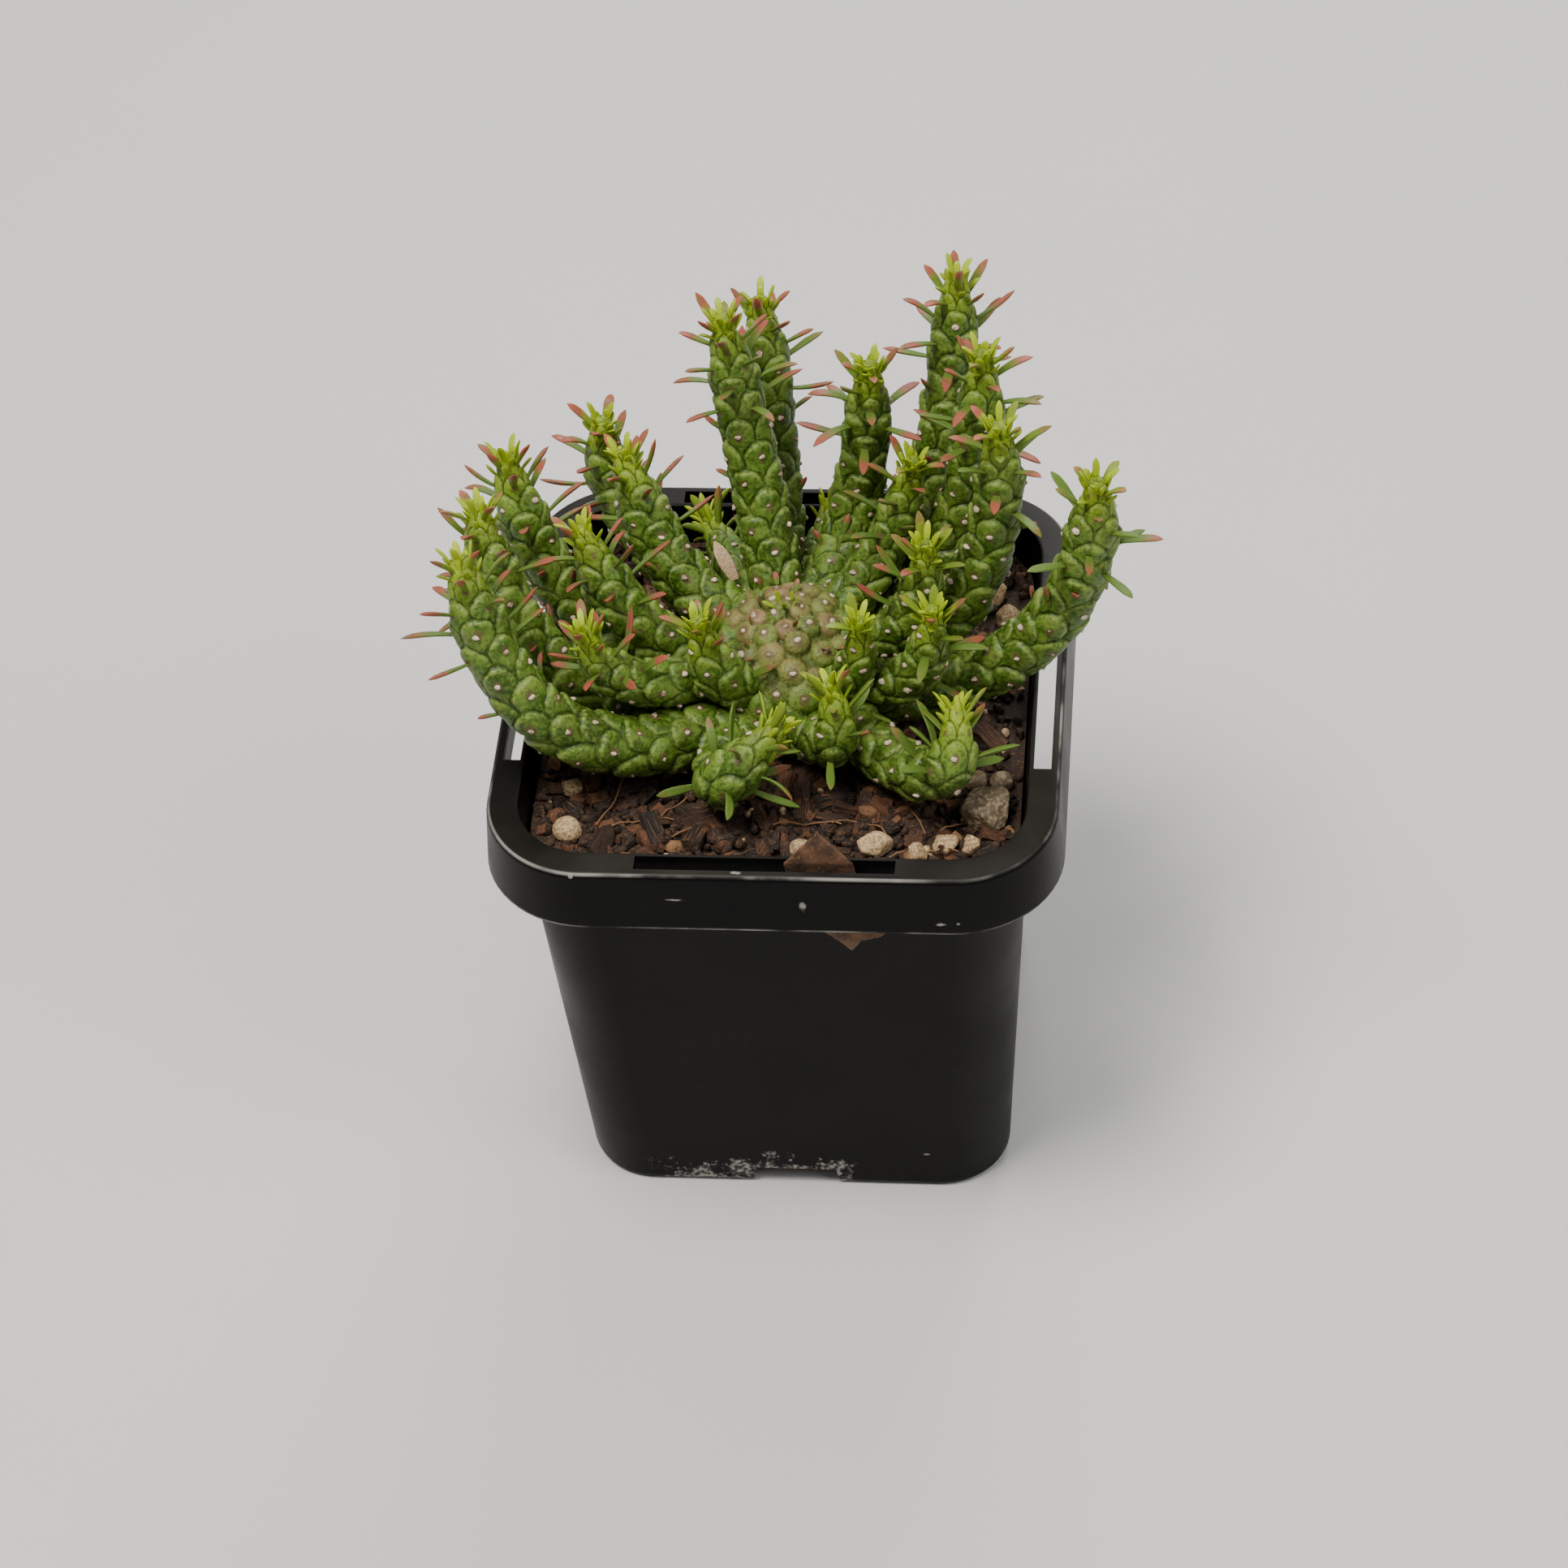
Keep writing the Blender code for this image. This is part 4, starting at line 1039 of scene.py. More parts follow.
@cache
def scatter_tree(grain: Grain) -> Tree:
    """Strews flakes, crumbs, lumps or leaf scars on points that know their size, turn and tint.

    Args:
        grain: What is strewn.

    Returns:
        The tree.
    """
    sheet = Sheet.start(f"strewn {grain.name.lower()}s", GEOMETRY, "Geometry", Geometry="Geometry",
                        Float="Roughen Roughness_scale Seed", Material="Material")
    given, here = sheet.add("NodeGroupInput"), sheet.add("GeometryNodeInputPosition")
    kind, inputs = grain.value
    marked = sheet.store(sheet.add(f"GeometryNode{kind}", inputs), "local", here, "FLOAT_VECTOR")
    euler = sheet.add("FunctionNodeEulerToRotation", {0: sheet.named("turn", "FLOAT_VECTOR")})
    strewn = sheet.add("GeometryNodeInstanceOnPoints", {
        "Points": given["Geometry"], "Instance": marked, "Rotation": euler,
        "Scale": sheet.named("size", "FLOAT_VECTOR")})
    real = sheet.add("GeometryNodeRealizeInstances", {"Geometry": strewn})
    waves = sheet.waves(sheet.vector("ADD", here, sheet.join(given["Seed"])), given["Roughness scale"], 1.0)
    centred = sheet.vector("SUBTRACT", waves["Color"], (0.5, 0.5, 0.5))
    push = sheet.vector("SCALE", centred, Scale=given["Roughen"])
    rough = sheet.add("GeometryNodeSetPosition", {"Geometry": real, "Offset": push})
    return sheet.give_piece(rough, given["Material"], grain is not Grain.FLAKE)


def rock_tree(facets: int = 11) -> Tree:
    """A stone broken along flat faces, rough all over and flat underneath.

    Args:
        facets: How many faces it is broken along.

    Returns:
        The tree.
    """
    sheet = Sheet.start("rock", GEOMETRY, "Geometry", Geometry="Geometry", Int="Steps", Material="Material",
                        Vector="Half_sizes Turn Place Facet_turn", Float="Rest_height Facet_depth Pits")
    given, here = sheet.add("NodeGroupInput"), sheet.add("GeometryNodeInputPosition")
    ball = sheet.add("GeometryNodeMeshIcoSphere", {"Radius": 1.0, "Subdivisions": given["Steps"]})
    key = sheet.add("ShaderNodeVectorRotate", {"Vector": here, "Rotation": given["Facet turn"]},
                    rotation_type="EULER_XYZ")
    draw = random.Random(SEED + 80)
    reach: Any = 1.2
    for _ in range(facets):
        normal = Vector([draw.gauss(0.0, 1.0) for _ in range(3)]).normalized()
        toward = sheet.vector("DOT_PRODUCT", key, tuple(normal))["Value"]
        cut = sheet.math("DIVIDE", draw.uniform(0.7, 0.98), sheet.math("MAXIMUM", toward, 0.05))
        reach = sheet.math("SMOOTH_MIN", reach, cut, 0.04)
    pits = sheet.waves(key, 3.2, 4.0, Roughness=0.6)
    swell = sheet.math("MULTIPLY_ADD", pits - 0.5, given["Pits"], (reach - 1.0) * given["Facet depth"])
    broken = sheet.add("GeometryNodeSetPosition", {"Geometry": ball,
                                                   "Offset": sheet.vector("SCALE", here, Scale=swell)})
    placed = sheet.add("GeometryNodeTransform", {
        "Geometry": broken, "Scale": given["Half sizes"], "Translation": given["Place"],
        "Rotation": sheet.add("FunctionNodeEulerToRotation", {0: given["Turn"]})})
    x, y, z = sheet.split(here)
    flat = sheet.join(x, y, sheet.math("MAXIMUM", z, given["Rest height"]))
    resting = sheet.add("GeometryNodeSetPosition", {"Geometry": placed, "Position": flat})
    return sheet.give_piece(sheet.store(resting, "tint", pits), given["Material"])


class Chip(NamedTuple):
    """One strewn piece by its middle, size, turn and tint."""

    centre: Any
    size: Any
    turn: Any
    tint: float


def strew(name: str, chips: list[Chip], grain: Grain, slot: Slot, node: str, roughen: float, material: Material,
          scale: float = 900.0, seed: float = 3.0) -> None:
    """Builds a layer of strewn pieces.

    Args:
        name: The layer's name.
        chips: Its pieces.
        grain: Their kind.
        slot: The record's slot; not used.
        node: The CAD node that it stands for.
        roughen: How far their surfaces are pushed about.
        material: Their material.
        scale: Waves per metre of that roughness.
        seed: Where in the noise it is read.
    """
    centre, size, turn, tint = (np.array(part) for part in zip(*chips))
    mesh = point_mesh(f"{name}_points", centre, size=size, turn=turn, tint=tint)
    grow(name, mesh, scatter_tree(grain), slot, node, Roughen=roughen, Roughness_scale=scale, Seed=seed,
         Material=material)


def facing(aim: Any) -> Any:
    """The turn that points a piece's own up along an aim."""
    return Vector(aim).to_track_quat("Z", "Y").to_euler()


# Pot
def rounded_square(half: float, corner: float, height: float, steps: int) -> np.ndarray:
    """Points round a square with rounded corners.

    Args:
        half: Half its width.
        corner: Its corner radius.
        height: Its height.
        steps: Steps in each corner.

    Returns:
        One row for each point.
    """
    points = []
    for quarter in range(4):
        turn = Matrix.Rotation(math.radians(90 * quarter), 3, "Z")
        for step in range(steps + 1):
            angle = math.radians(90) * step / steps
            point = Vector((half - corner + corner * math.cos(angle), half - corner + corner * math.sin(angle), 0))
            points.append([*(turn @ point)[:2], height])
    return np.array(points)


def bend(x: float, z: float, radius: float, *degrees: float) -> list[Pair]:
    """Points on an arc of a section, by the arc's centre and radius and their directions."""
    return [(x + radius * math.cos(math.radians(a)), z + radius * math.sin(math.radians(a))) for a in degrees]


@dataclass
class NurseryPot:
    """The square pot: tapered body, stepped lip with hanging skirt, four slots and four notches."""

    corner_steps: int = 14
    finish: PlasticFinish = field(default_factory=PlasticFinish)

    def section(self) -> list[Pair]:
        """Half width and height from the underside, out round the lip and down to the floor.

        Returns:
            The section's points.
        """
        lip_under, skirt_foot, skirt = POT_HEIGHT - LIP_PLATE, POT_HEIGHT - SKIRT_HEIGHT, RIM_HALF + SKIRT_FLARE
        return [
            *bend(FOOT_HALF - FOOT_ROUND, FOOT_ROUND, FOOT_ROUND, -90, -60, -30, 0),
            (SHOULDER_HALF, lip_under),
            (RIM_HALF - SKIRT_WALL, lip_under),
            (skirt - SKIRT_WALL, skirt_foot),
            (skirt - SKIRT_HEM, skirt_foot),
            (skirt, skirt_foot + SKIRT_HEM),
            *bend(RIM_HALF - RIM_ROUND, POT_HEIGHT - RIM_ROUND, RIM_ROUND, 0, 30, 60, 90),
            *bend(MOUTH_HALF + MOUTH_ROUND, POT_HEIGHT - MOUTH_ROUND, MOUTH_ROUND, 90, 135, 180),
            (SHOULDER_HALF - WALL, lip_under - 1.5 * MM),
            (FOOT_HALF - WALL, FLOOR)]

    def cutter(self, size: Triple, distance: float, height: float, turn: float, top_part: float = 1.0) -> Piece:
        """A box that cuts a slot or a notch.

        Args:
            size: Length, depth and height.
            distance: From the pot's axis to its middle.
            height: Height of its middle.
            turn: Its turn about the axis.
            top_part: Length of its top as a part of its foot's.

        Returns:
            The cutter.
        """
        corners = [(x * size[0] * part, y * size[1] + distance, z * size[2] + height)
                   for z, part in ((-0.5, 1.0), (0.5, top_part))
                   for x, y in ((-0.5, -0.5), (0.5, -0.5), (0.5, 0.5), (-0.5, 0.5))]
        points = [Matrix.Rotation(turn, 3, "Z") @ Vector(corner) for corner in corners]
        faces = [(3, 2, 1, 0), (4, 5, 6, 7), *((i, (i + 1) % 4, (i + 1) % 4 + 4, i + 4) for i in range(4))]
        return link_object("pot_cutter", point_mesh("pot_cutter", np.array(points), faces))

    def build(self) -> None:
        """Builds the pot."""
        rings = [rounded_square(half, max(BODY_CORNER, RIM_CORNER + half - RIM_HALF), height, self.corner_steps)
                 for half, height in self.section()]
        pot = link_object("nursery_pot", point_mesh("nursery_pot", np.concatenate(rings), capped_faces(rings)))
        cutters = bpy.data.collections.new("pot_cutters")
        past = 1.0 * MM
        depth = FOOT_HALF + past - NOTCH_INNER
        for side in range(4):
            turn = math.radians(90 * side)
            cutters.objects.link(self.cutter((*SLOT, LIP_PLATE + 2 * past), SLOT_CENTRE, POT_HEIGHT - LIP_PLATE / 2,
                                             turn))
            cutters.objects.link(self.cutter((NOTCH_WIDTHS[0], depth, 2 * NOTCH_HEIGHT), NOTCH_INNER + depth / 2,
                                             0.0, turn, NOTCH_WIDTHS[1] / NOTCH_WIDTHS[0]))
        cut = pot.modifiers.new("cut", "BOOLEAN")
        cut.operand_type, cut.collection, cut.solver = "COLLECTION", cutters, "EXACT"
        bake_modifiers(pot)
        for cutter in list(cutters.objects):
            bpy.data.objects.remove(cutter, do_unlink=True)
        bpy.data.collections.remove(cutters)
        dress(pot.data, self.finish.material(), 32)
        pot.modifiers.new("even", "WEIGHTED_NORMAL").keep_sharp = True
        bake_modifiers(pot)
        finish_piece(pot, "pot")


# Arms
@dataclass(frozen=True)
class ArmPlan:
    """Where an arm runs, how thick it is and how red its leaves are."""

    name: str
    root: Pair
    root_heading: float
    bend: Triple
    tip: Triple
    girth: float
    blush: float


ARM_PLANS = tuple(ArmPlan(f"arm_{plan[0]}", *plan[1:]) for plan in (
    ("left_front", LOW_ROOT, 243, (221, 48, 75), (196, 44.5, 111.5), 4.7, 0.7),
    ("left_outer", LOW_ROOT, 200, (199, 42, 75), (179, 42.0, 109.0), 4.6, 0.65),
    ("left_rear", LOW_ROOT, 174, (178, 36, 76), (163, 41.5, 108.5), 4.4, 0.85),
    ("left_inner", HIGH_ROOT, 186, (196, 22, 79), (176, 29.0, 104.0), 4.2, 0.9),
    ("left_short", HIGH_ROOT, 213, (215, 31, 82), (206, 30.0, 99.0), 3.8, 0.85),
    ("rear_left_inner", HIGH_ROOT, 150, (155, 21, 82), (145, 29.5, 105.0), 4.4, 0.85),
    ("rear_left_outer", LOW_ROOT, 134, (135, 46, 78), (134, 40.0, 99.5), 4.4, 0.9),
    ("rear_inner", HIGH_ROOT, 105, (103, 21, 92), (111, 26.5, 123.0), 4.2, 0.6),
    ("rear_outer", LOW_ROOT, 99, (97, 37, 86), (98, 38.0, 115.5), 4.2, 0.65),
    ("rear_right_inner", HIGH_ROOT, 70, (71, 30, 76), (66, 28.0, 113.6), 4.1, 0.65),
    ("rear_right_tall", LOW_ROOT, 53, (48, 34, 78), (55, 41.0, 124.0), 4.2, 0.65),
    ("right_rear", LOW_ROOT, 27, (28, 31, 79), (34, 33.5, 122.0), 4.1, 0.6),
    ("right_outer", LOW_ROOT, 6, (7, 33, 81), (12, 31.0, 119.5), 4.2, 0.55),
    ("right_rear_inner", HIGH_ROOT, 42, (42, 22, 86), (39, 23.3, 105.6), 3.7, 0.6),
    ("right_inner", HIGH_ROOT, 357, (355, 21, 81), (356, 20.5, 104.5), 3.7, 0.5),
    ("right_long", LOW_ROOT, 328, (358, 45, 75), (357, 44.2, 117.0), 4.5, 0.18),
    ("right_front_inner", HIGH_ROOT, 335, (333, 25, 76), (335, 24.0, 100.5), 3.7, 0.45),
    ("front_right_bud", HIGH_ROOT, 314, (319, 16, 78), (322, 14.3, 97.0), 3.3, 0.4),
    ("front_left_inner", HIGH_ROOT, 242, (234, 16, 79), (218, 14.5, 97.0), 4.0, 0.5),
    ("front_left_low", LOW_ROOT, 240, (249, 39, 75), (278, 19.5, 87.5), 4.3, 0.25),
    ("front_low", LOW_ROOT, 280, (295, 27, 77), (295, 16.0, 91.0), 3.9, 0.35),
    ("front_right_low", LOW_ROOT, 314, (309, 46, 76), (324, 30.5, 90.5), 4.3, 0.3),
    ("back_left_low", LOW_ROOT, 115, (114, 30, 76), (117, 36.0, 79.5), 3.4, 0.15),
    ("back_low", LOW_ROOT, 80, (83, 30, 77), (83, 33.0, 82.0), 3.5, 0.15)))


@dataclass
class Leaf:
    """One leaf by its centre line, the way its upper side faces, its width and its colours."""

    root: np.ndarray
    middle: np.ndarray
    tip: np.ndarray
    face: np.ndarray
    width: float
    blush: float
    young: float = 0.0

    def samples(self) -> np.ndarray:
        """Four points along it, for clearance checks."""
        return np.array([self.middle * 0.6 + self.root * 0.4, self.middle, (self.middle + self.tip) * 0.5, self.tip])

    def stations(self, curl: float) -> tuple[np.ndarray, np.ndarray]:
        """Points along its middle and its half width at each.

        Args:
            curl: How far its tip curls towards its upper side, as a part of its length.

        Returns:
            The points and the half widths.
        """
        t = np.linspace(0.0, 1.0, LEAF_STATIONS) ** 0.8
        s = t[:, None]
        control = self.middle - (1 - LEAF_BELLY) ** 2 * self.root - LEAF_BELLY ** 2 * self.tip
        control = control / (2 * LEAF_BELLY * (1 - LEAF_BELLY))
        line = (1 - s) ** 2 * self.root + 2 * s * (1 - s) * control + s ** 2 * self.tip
        line = line + self.face * (curl * np.linalg.norm(self.tip - self.root) * s ** 2)
        return line, 0.5 * self.width * np.interp(t, *LEAF_OUTLINE)


def grow_leaves(name: str, leaves: list[Leaf], seed: int, node: str, material: Material, thickness: float,
                channel: float) -> None:
    """Builds leaves of one piece, each a little curled and of its own colour.

    Args:
        name: The piece's name.
        leaves: The leaves.
        seed: Seed for how they curl and differ in colour.
        node: The CAD node that they stand for.
        material: Their material.
        thickness: Thickness as a part of the width.
        channel: How deeply the upper side is channelled.
    """
    draw = random.Random(seed)
    same = np.ones(LEAF_STATIONS)
    strands = []
    for leaf in leaves:
        line, half_width = leaf.stations(draw.uniform(-0.3, 0.0) if leaf.young > 0.9 else draw.uniform(-0.18, 0.2))
        blush = min(1.0, max(0.0, leaf.blush + draw.uniform(-0.4, 0.3))) if leaf.blush > 0 else 0.0
        run = unit(np.gradient(line, axis=0))
        face = unit(leaf.face - run * (run @ leaf.face)[:, None])
        strands.append((line, half_width, face, np.linspace(0.0, 1.0, LEAF_STATIONS), blush * same,
                        leaf.young * same))
    line, half_width, face, along, blush, young = (np.concatenate(part) for part in zip(*strands))
    mesh = strand_mesh(f"{name}_lines", line, half_width=half_width, face=face, along=along, blush=blush, young=young)
    grow(name, mesh, blade_tree(), Slot.PLANT, node, Section_points=8, Thickness=thickness, Channel=channel,
         Material=material)


def leaf_growth(left: float) -> Pair:
    """Spread in degrees and length of a leaf that is so far from the arm's end."""
    grown = LEAF_YOUNG_PART + (1 - LEAF_YOUNG_PART) * min(left / LEAF_FULL_LENGTH_FROM, 1.0)
    return LEAF_SPREAD[0] + LEAF_SPREAD[1] * min(left / LEAFY_LENGTH, 1.0), LEAF_LENGTH * grown


def leaf_youth(left: float) -> float:
    """How young a leaf looks that is so far from the arm's end."""
    return 0.5 * max(0.0, 1 - left / LEAF_YOUNG_LENGTH)


@dataclass
class Arm:
    """One snaky arm: its centre line, its whorls of scales and a frame that doesn't twist along it."""

    plan: ArmPlan
    index: int
    warps: tuple[Pair, ...] = ((330.0, 0.2), (1150.0, 0.055))

    def __post_init__(self) -> None:
        """Works out the centre line and the places of the whorls."""
        plan = self.plan
        start, middle, end = (around_head(*place) for place in ((plan.root_heading, *plan.root), plan.bend, plan.tip))
        t = np.linspace(0.0, 1.0, PATH_STEPS)[:, None]
        self.points = (1 - t) ** 2 * start + 2 * t * (1 - t) * middle + t ** 2 * end
        steps = np.linalg.norm(np.diff(self.points, axis=0), axis=1)
        self.along = np.concatenate([[0.0], steps.cumsum()])
        self.length = self.along[-1] - ROSETTE_REACH
        self.tangents = unit(np.gradient(self.points, axis=0))
        self.sides = np.zeros_like(self.tangents)
        side = np.cross(self.tangents[0], [0.0, 0.0, 1.0])
        for number, tangent in enumerate(self.tangents):
            side = self.sides[number] = unit(side - tangent * np.dot(side, tangent))
        rows = [0.0]
        while rows[-1] < self.length:
            near_tip = min((self.length - rows[-1]) / LEAFY_LENGTH, 1.0)
            rows.append(rows[-1] + ROW_SPACING * (ROW_SPACING_TIP + (1 - ROW_SPACING_TIP) * near_tip))
        scale = self.length / rows[-1]
        self.rows = [row * scale for row in rows]
        self.radii = self.radius(self.along)

    def frame(self, distance: Any) -> tuple[np.ndarray, np.ndarray, np.ndarray, np.ndarray]:
        """The arm's own directions at one or more distances along it.

        Args:
            distance: A distance, or an array of them.

        Returns:
            Centre, tangent and two directions across.
        """
        centre, tangent, side = (
            np.stack([np.interp(distance, self.along, values[:, i]) for i in range(3)], axis=-1)
            for values in (self.points, self.tangents, self.sides))
        tangent = unit(tangent)
        side = unit(side - tangent * (side * tangent).sum(axis=-1, keepdims=True))
        return centre, tangent, side, np.cross(tangent, side)

    def radius(self, distance: Any) -> Any:
        """Outer radius at one or more distances along the arm."""
        closing = np.minimum(TIP_RADIUS + np.maximum(self.length - distance, 0.0) / TIP_TAPER_LENGTH, 1.0)
        return self.plan.girth * MM * (1 - TAPER * distance / self.length) * closing

    def angle(self, row: Any, column: Any) -> Any:
        """The direction of a column at a row."""
        return 2 * math.pi / ARM_COLUMNS * column + ROW_TWIST * row

    def surface(self, distance: float, angle: float, lift: float) -> tuple[np.ndarray, np.ndarray, np.ndarray]:
        """A point on the arm's surface.

        Args:
            distance: Along the arm.
            angle: Round it.
            lift: How far out, as a part of the radius.

        Returns:
            The point, the arm's tangent and the way out there.
        """
        centre, tangent, side, up = self.frame(distance)
        outward = side * math.cos(angle) + up * math.sin(angle)
        return centre + outward * self.radius(distance) * lift, tangent, outward

    def apexes(self, first: int) -> list[tuple[int, int, float, float]]:
        """Row, column, distance and angle of each scale's apex past a row.

        Args:
            first: The row.

        Returns:
            The apexes.
        """
        forward = [low + APEX_FORWARD * (high - low) for low, high in zip(self.rows, self.rows[1:])]
        return [(row, column, forward[row], self.angle(row, column))
                for row in range(first + 1, len(self.rows) - 1) for column in range(row % 2, ARM_COLUMNS, 2)]

    def leaf_at(self, distance: float, angle: float, spread: float, length: float, droop: float,
                width: float) -> Leaf:
        """A leaf that grows from an apex.

        Args:
            distance: The apex's distance along the arm.
            angle: Its direction round the arm.
            spread: The leaf's angle from the arm's own direction.
            length: Its length.
            droop: How far its tip sags, as a part of the length.
            width: Its width.

        Returns:
            The leaf.
        """
        point, tangent, outward = self.surface(distance, angle, APEX)
        direction = tangent * math.cos(spread) + outward * math.sin(spread)
        root = point - direction * LEAF_SINK
        tip = root + direction * (length + LEAF_SINK) - tangent * length * droop
        middle = root + (tip - root) * LEAF_BELLY + tangent * length * droop * LEAF_BEND
        face = np.cross(unit(tip - root), np.cross(tangent, outward))
        return Leaf(root, middle, tip, face, width, self.plan.blush)

    def skin_mesh(self) -> Mesh:
        """The plain tube that the scales are raised on.

        Returns:
            The mesh, with row, column, outward reach and age on its points.
        """
        last = len(self.rows) - 1
        row = np.linspace(0, last, last * ROW_STEPS + 1)
        distance = np.interp(row, np.arange(last + 1), self.rows)
        centre, tangent, side, up = self.frame(distance)
        column = np.arange(ARM_COLUMNS * COLUMN_STEPS) / COLUMN_STEPS
        angle = self.angle(row[:, None], column[None])[..., None]
        out = (side[:, None] * np.cos(angle) + up[:, None] * np.sin(angle)) * self.radius(distance)[:, None, None]
        points = centre[:, None] + out * GROOVE
        count = len(column)
        poles = (centre[0], centre[-1] + tangent[-1] * TIP_HEIGHT)
        faces = poled_faces(len(row), count)
        (coarse, far), (fine, near) = self.warps
        warps = np.array([noise.noise_vector(Vector(point) * coarse) * far
                          + noise.noise_vector(Vector(point) * fine) * near
                          for point in points.reshape(-1, 3)]).reshape(len(row), count, 3)
        rows = with_ends(row[:, None] + warps[:, :, 0], 0.0, last)
        columns = with_ends(column[None] + warps[:, :, 1], 0.0, 0.0)
        age = np.repeat((self.length - distance)[:, None], count, axis=1)
        mesh = point_mesh(f"{self.plan.name}_tube", with_ends(points, *poles), faces, row=rows, column=columns,
                          out=with_ends(out, np.zeros(3), np.zeros(3)), age=with_ends(age, self.length, 0.0))
        place = np.stack([rows, columns], axis=1)[[corner for face in faces for corner in face]]
        place[:4 * count * (len(row) - 1)].reshape(-1, count, 4, 2)[:, -1, 1:3, 1] += ARM_COLUMNS
        mesh.uv_layers.new(name="scales").data.foreach_set("uv", place.astype(np.float32).ravel())
        return mesh


@dataclass
class ArmWhorl:
    """All the arms, with their skins, scars and leaves."""

    skin: Material
    leaf: Material
    scar: Material
    lift: float = 0.32
    unevenness: float = 0.2
    crease: float = 0.18
    dents: float = 0.45
    dent_scale: float = 480.0
    scar_widths: Pair = (0.8, 1.35)
    scar_lengths: Pair = (0.55, 0.85)
    scar_height: float = 0.5 * MM
    scar_free_length: float = 4 * MM
    withered_length: float = 2.2 * LEAFY_LENGTH
    withered_chance: float = 0.14
    withered_spread: Pair = (25, 60)
    withered_sizes: Pair = (1.8, 3.2)
    rosette_young_length: float = 7 * MM
    rosette_tiers: tuple[tuple[float, int, float, float, float], ...] = (
        (0.1 * MM, 3, 8, 1.0 * MM, 1.5 * MM),
        (0.9 * MM, 4, 24, 1.1 * MM, 1.7 * MM),
        (2.4 * MM, 4, 40, 1.4 * MM, 2.2 * MM))
    sliver: tuple[Triple, ...] = (mm(-8.3, 15.0, 80.2), mm(-9.4, 15.7, 82.6), mm(-11.1, 17.0, 85.8),
                                  (0.1, -0.75, 0.65))
    arms: list[Arm] = field(default_factory=lambda: [Arm(plan, i) for i, plan in enumerate(ARM_PLANS)])
    taken: list[tuple[Arm, np.ndarray]] = field(default_factory=list)

    def crowded_length(self, arm: Arm) -> float:
        """How far along the arm it still runs within reach of the head or of another arm.

        Args:
            arm: The arm.

        Returns:
            The distance.
        """
        reach = np.linalg.norm((arm.points - HEAD_CENTRE)[:, :2], axis=1)
        near = reach < head_radius(arm.points[:, 2] - arm.radii) + HEAD_TUBERCLE_LIFT + arm.radii + NEIGHBOUR_GAP
        for other in self.arms:
            if other is not arm:
                apart = np.linalg.norm(arm.points[:, None] - other.points[None], axis=2)
                near |= (apart < (arm.radii[:, None] + other.radii[None]) * APEX + NEIGHBOUR_GAP).any(axis=1)
        return arm.along[np.nonzero(near)[0].max()]

    def is_clear(self, leaf: Leaf, own: Arm) -> bool:
        """Whether the leaf keeps clear of the head, the other arms, their leaves, the pot and the soil.

        Args:
            leaf: The leaf.
            own: The arm that it grows on.

        Returns:
            True where it does.
        """
        samples = leaf.samples()
        leaf_gap = 2 * LEAF_CLEARANCE
        bulk = head_radius(samples[:, 2]) + HEAD_TUBERCLE_LIFT
        hits = [np.linalg.norm((samples - HEAD_CENTRE)[:, :2], axis=1) < bulk + LEAF_CLEARANCE]
        for other in self.arms:
            if other is not own:
                apart = np.linalg.norm(samples[:, None] - other.points[None], axis=2)
                hits.append(apart < other.radii[None] * APEX + LEAF_CLEARANCE)
        hits += [np.linalg.norm(samples[:, None] - others[None], axis=2) < leaf_gap
                 for other, others in self.taken if other is not own]
        flat = np.abs(samples[:, :2]).max(axis=1)
        over_rim = (flat > MOUTH_HALF - LEAF_CLEARANCE) & (flat < RIM_HALF + LEAF_CLEARANCE)
        hits.append(over_rim & (samples[:, 2] < POT_HEIGHT + LEAF_CLEARANCE))
        hits.append(samples[:, 2] < SOIL_TOP + leaf_gap)
        return not any(hit.any() for hit in hits)

    def solid_leaves(self, arm: Arm) -> tuple[list[Leaf], set[tuple[int, int]]]:
        """The leaves that the arm's solid has, by the same draws.

        Args:
            arm: The arm.

        Returns:
            The leaves, and the row and column of each apex that bears one.
        """
        draw = random.Random(SEED + arm.index)
        crowded = self.crowded_length(arm)
        split = next(i for i, row in enumerate(arm.rows) if row > crowded)
        start = arm.rows[split] + SEAT_GAP / 2
        centre, tangent, _, _ = arm.frame(start)
        apexes = arm.apexes(split)
        for _ in apexes:
            draw.random()
        leaves, bearing = [], set()
        for row, column, distance, angle in apexes:
            left = arm.length - distance
            wide, length = leaf_growth(left)
            spread = math.radians(wide + draw.uniform(-LEAF_SPREAD_DRAW, LEAF_SPREAD_DRAW))
            length *= draw.uniform(*LEAF_LENGTH_DRAW)
            droop = draw.uniform(*LEAF_DROOP)
            if draw.random() > LEAF_CHANCE or left > LEAFY_LENGTH:
                continue
            leaf = arm.leaf_at(distance, angle, spread, length, droop, LEAF_WIDTH)
            behind = ((leaf.samples() - centre) @ tangent < LEAF_KEEL + SEAT_GAP).any()
            if not (behind and distance - start < LEAF_LENGTH) and self.is_clear(leaf, arm):
                leaf.young = leaf_youth(left)
                leaves.append(leaf)
                bearing.add((row, column))
        for number in range(ROSETTE_LEAVES):
            angle = 2 * math.pi * number / ROSETTE_LEAVES + draw.uniform(-0.3, 0.3)
            spread = ROSETTE_SPREAD * draw.uniform(0.5, 1.3)
            length = ROSETTE_LENGTH * draw.uniform(*LEAF_LENGTH_DRAW)
            leaf = arm.leaf_at(arm.length - ROSETTE_ROOT, angle, 0.9 * spread, 0.78 * length, 0.0, ROSETTE_WIDTH)
            leaf.young, leaf.blush = 1.0, 0.0
            leaves.append(leaf)
        self.taken += [(arm, leaf.samples()) for leaf in leaves]
        return leaves, bearing

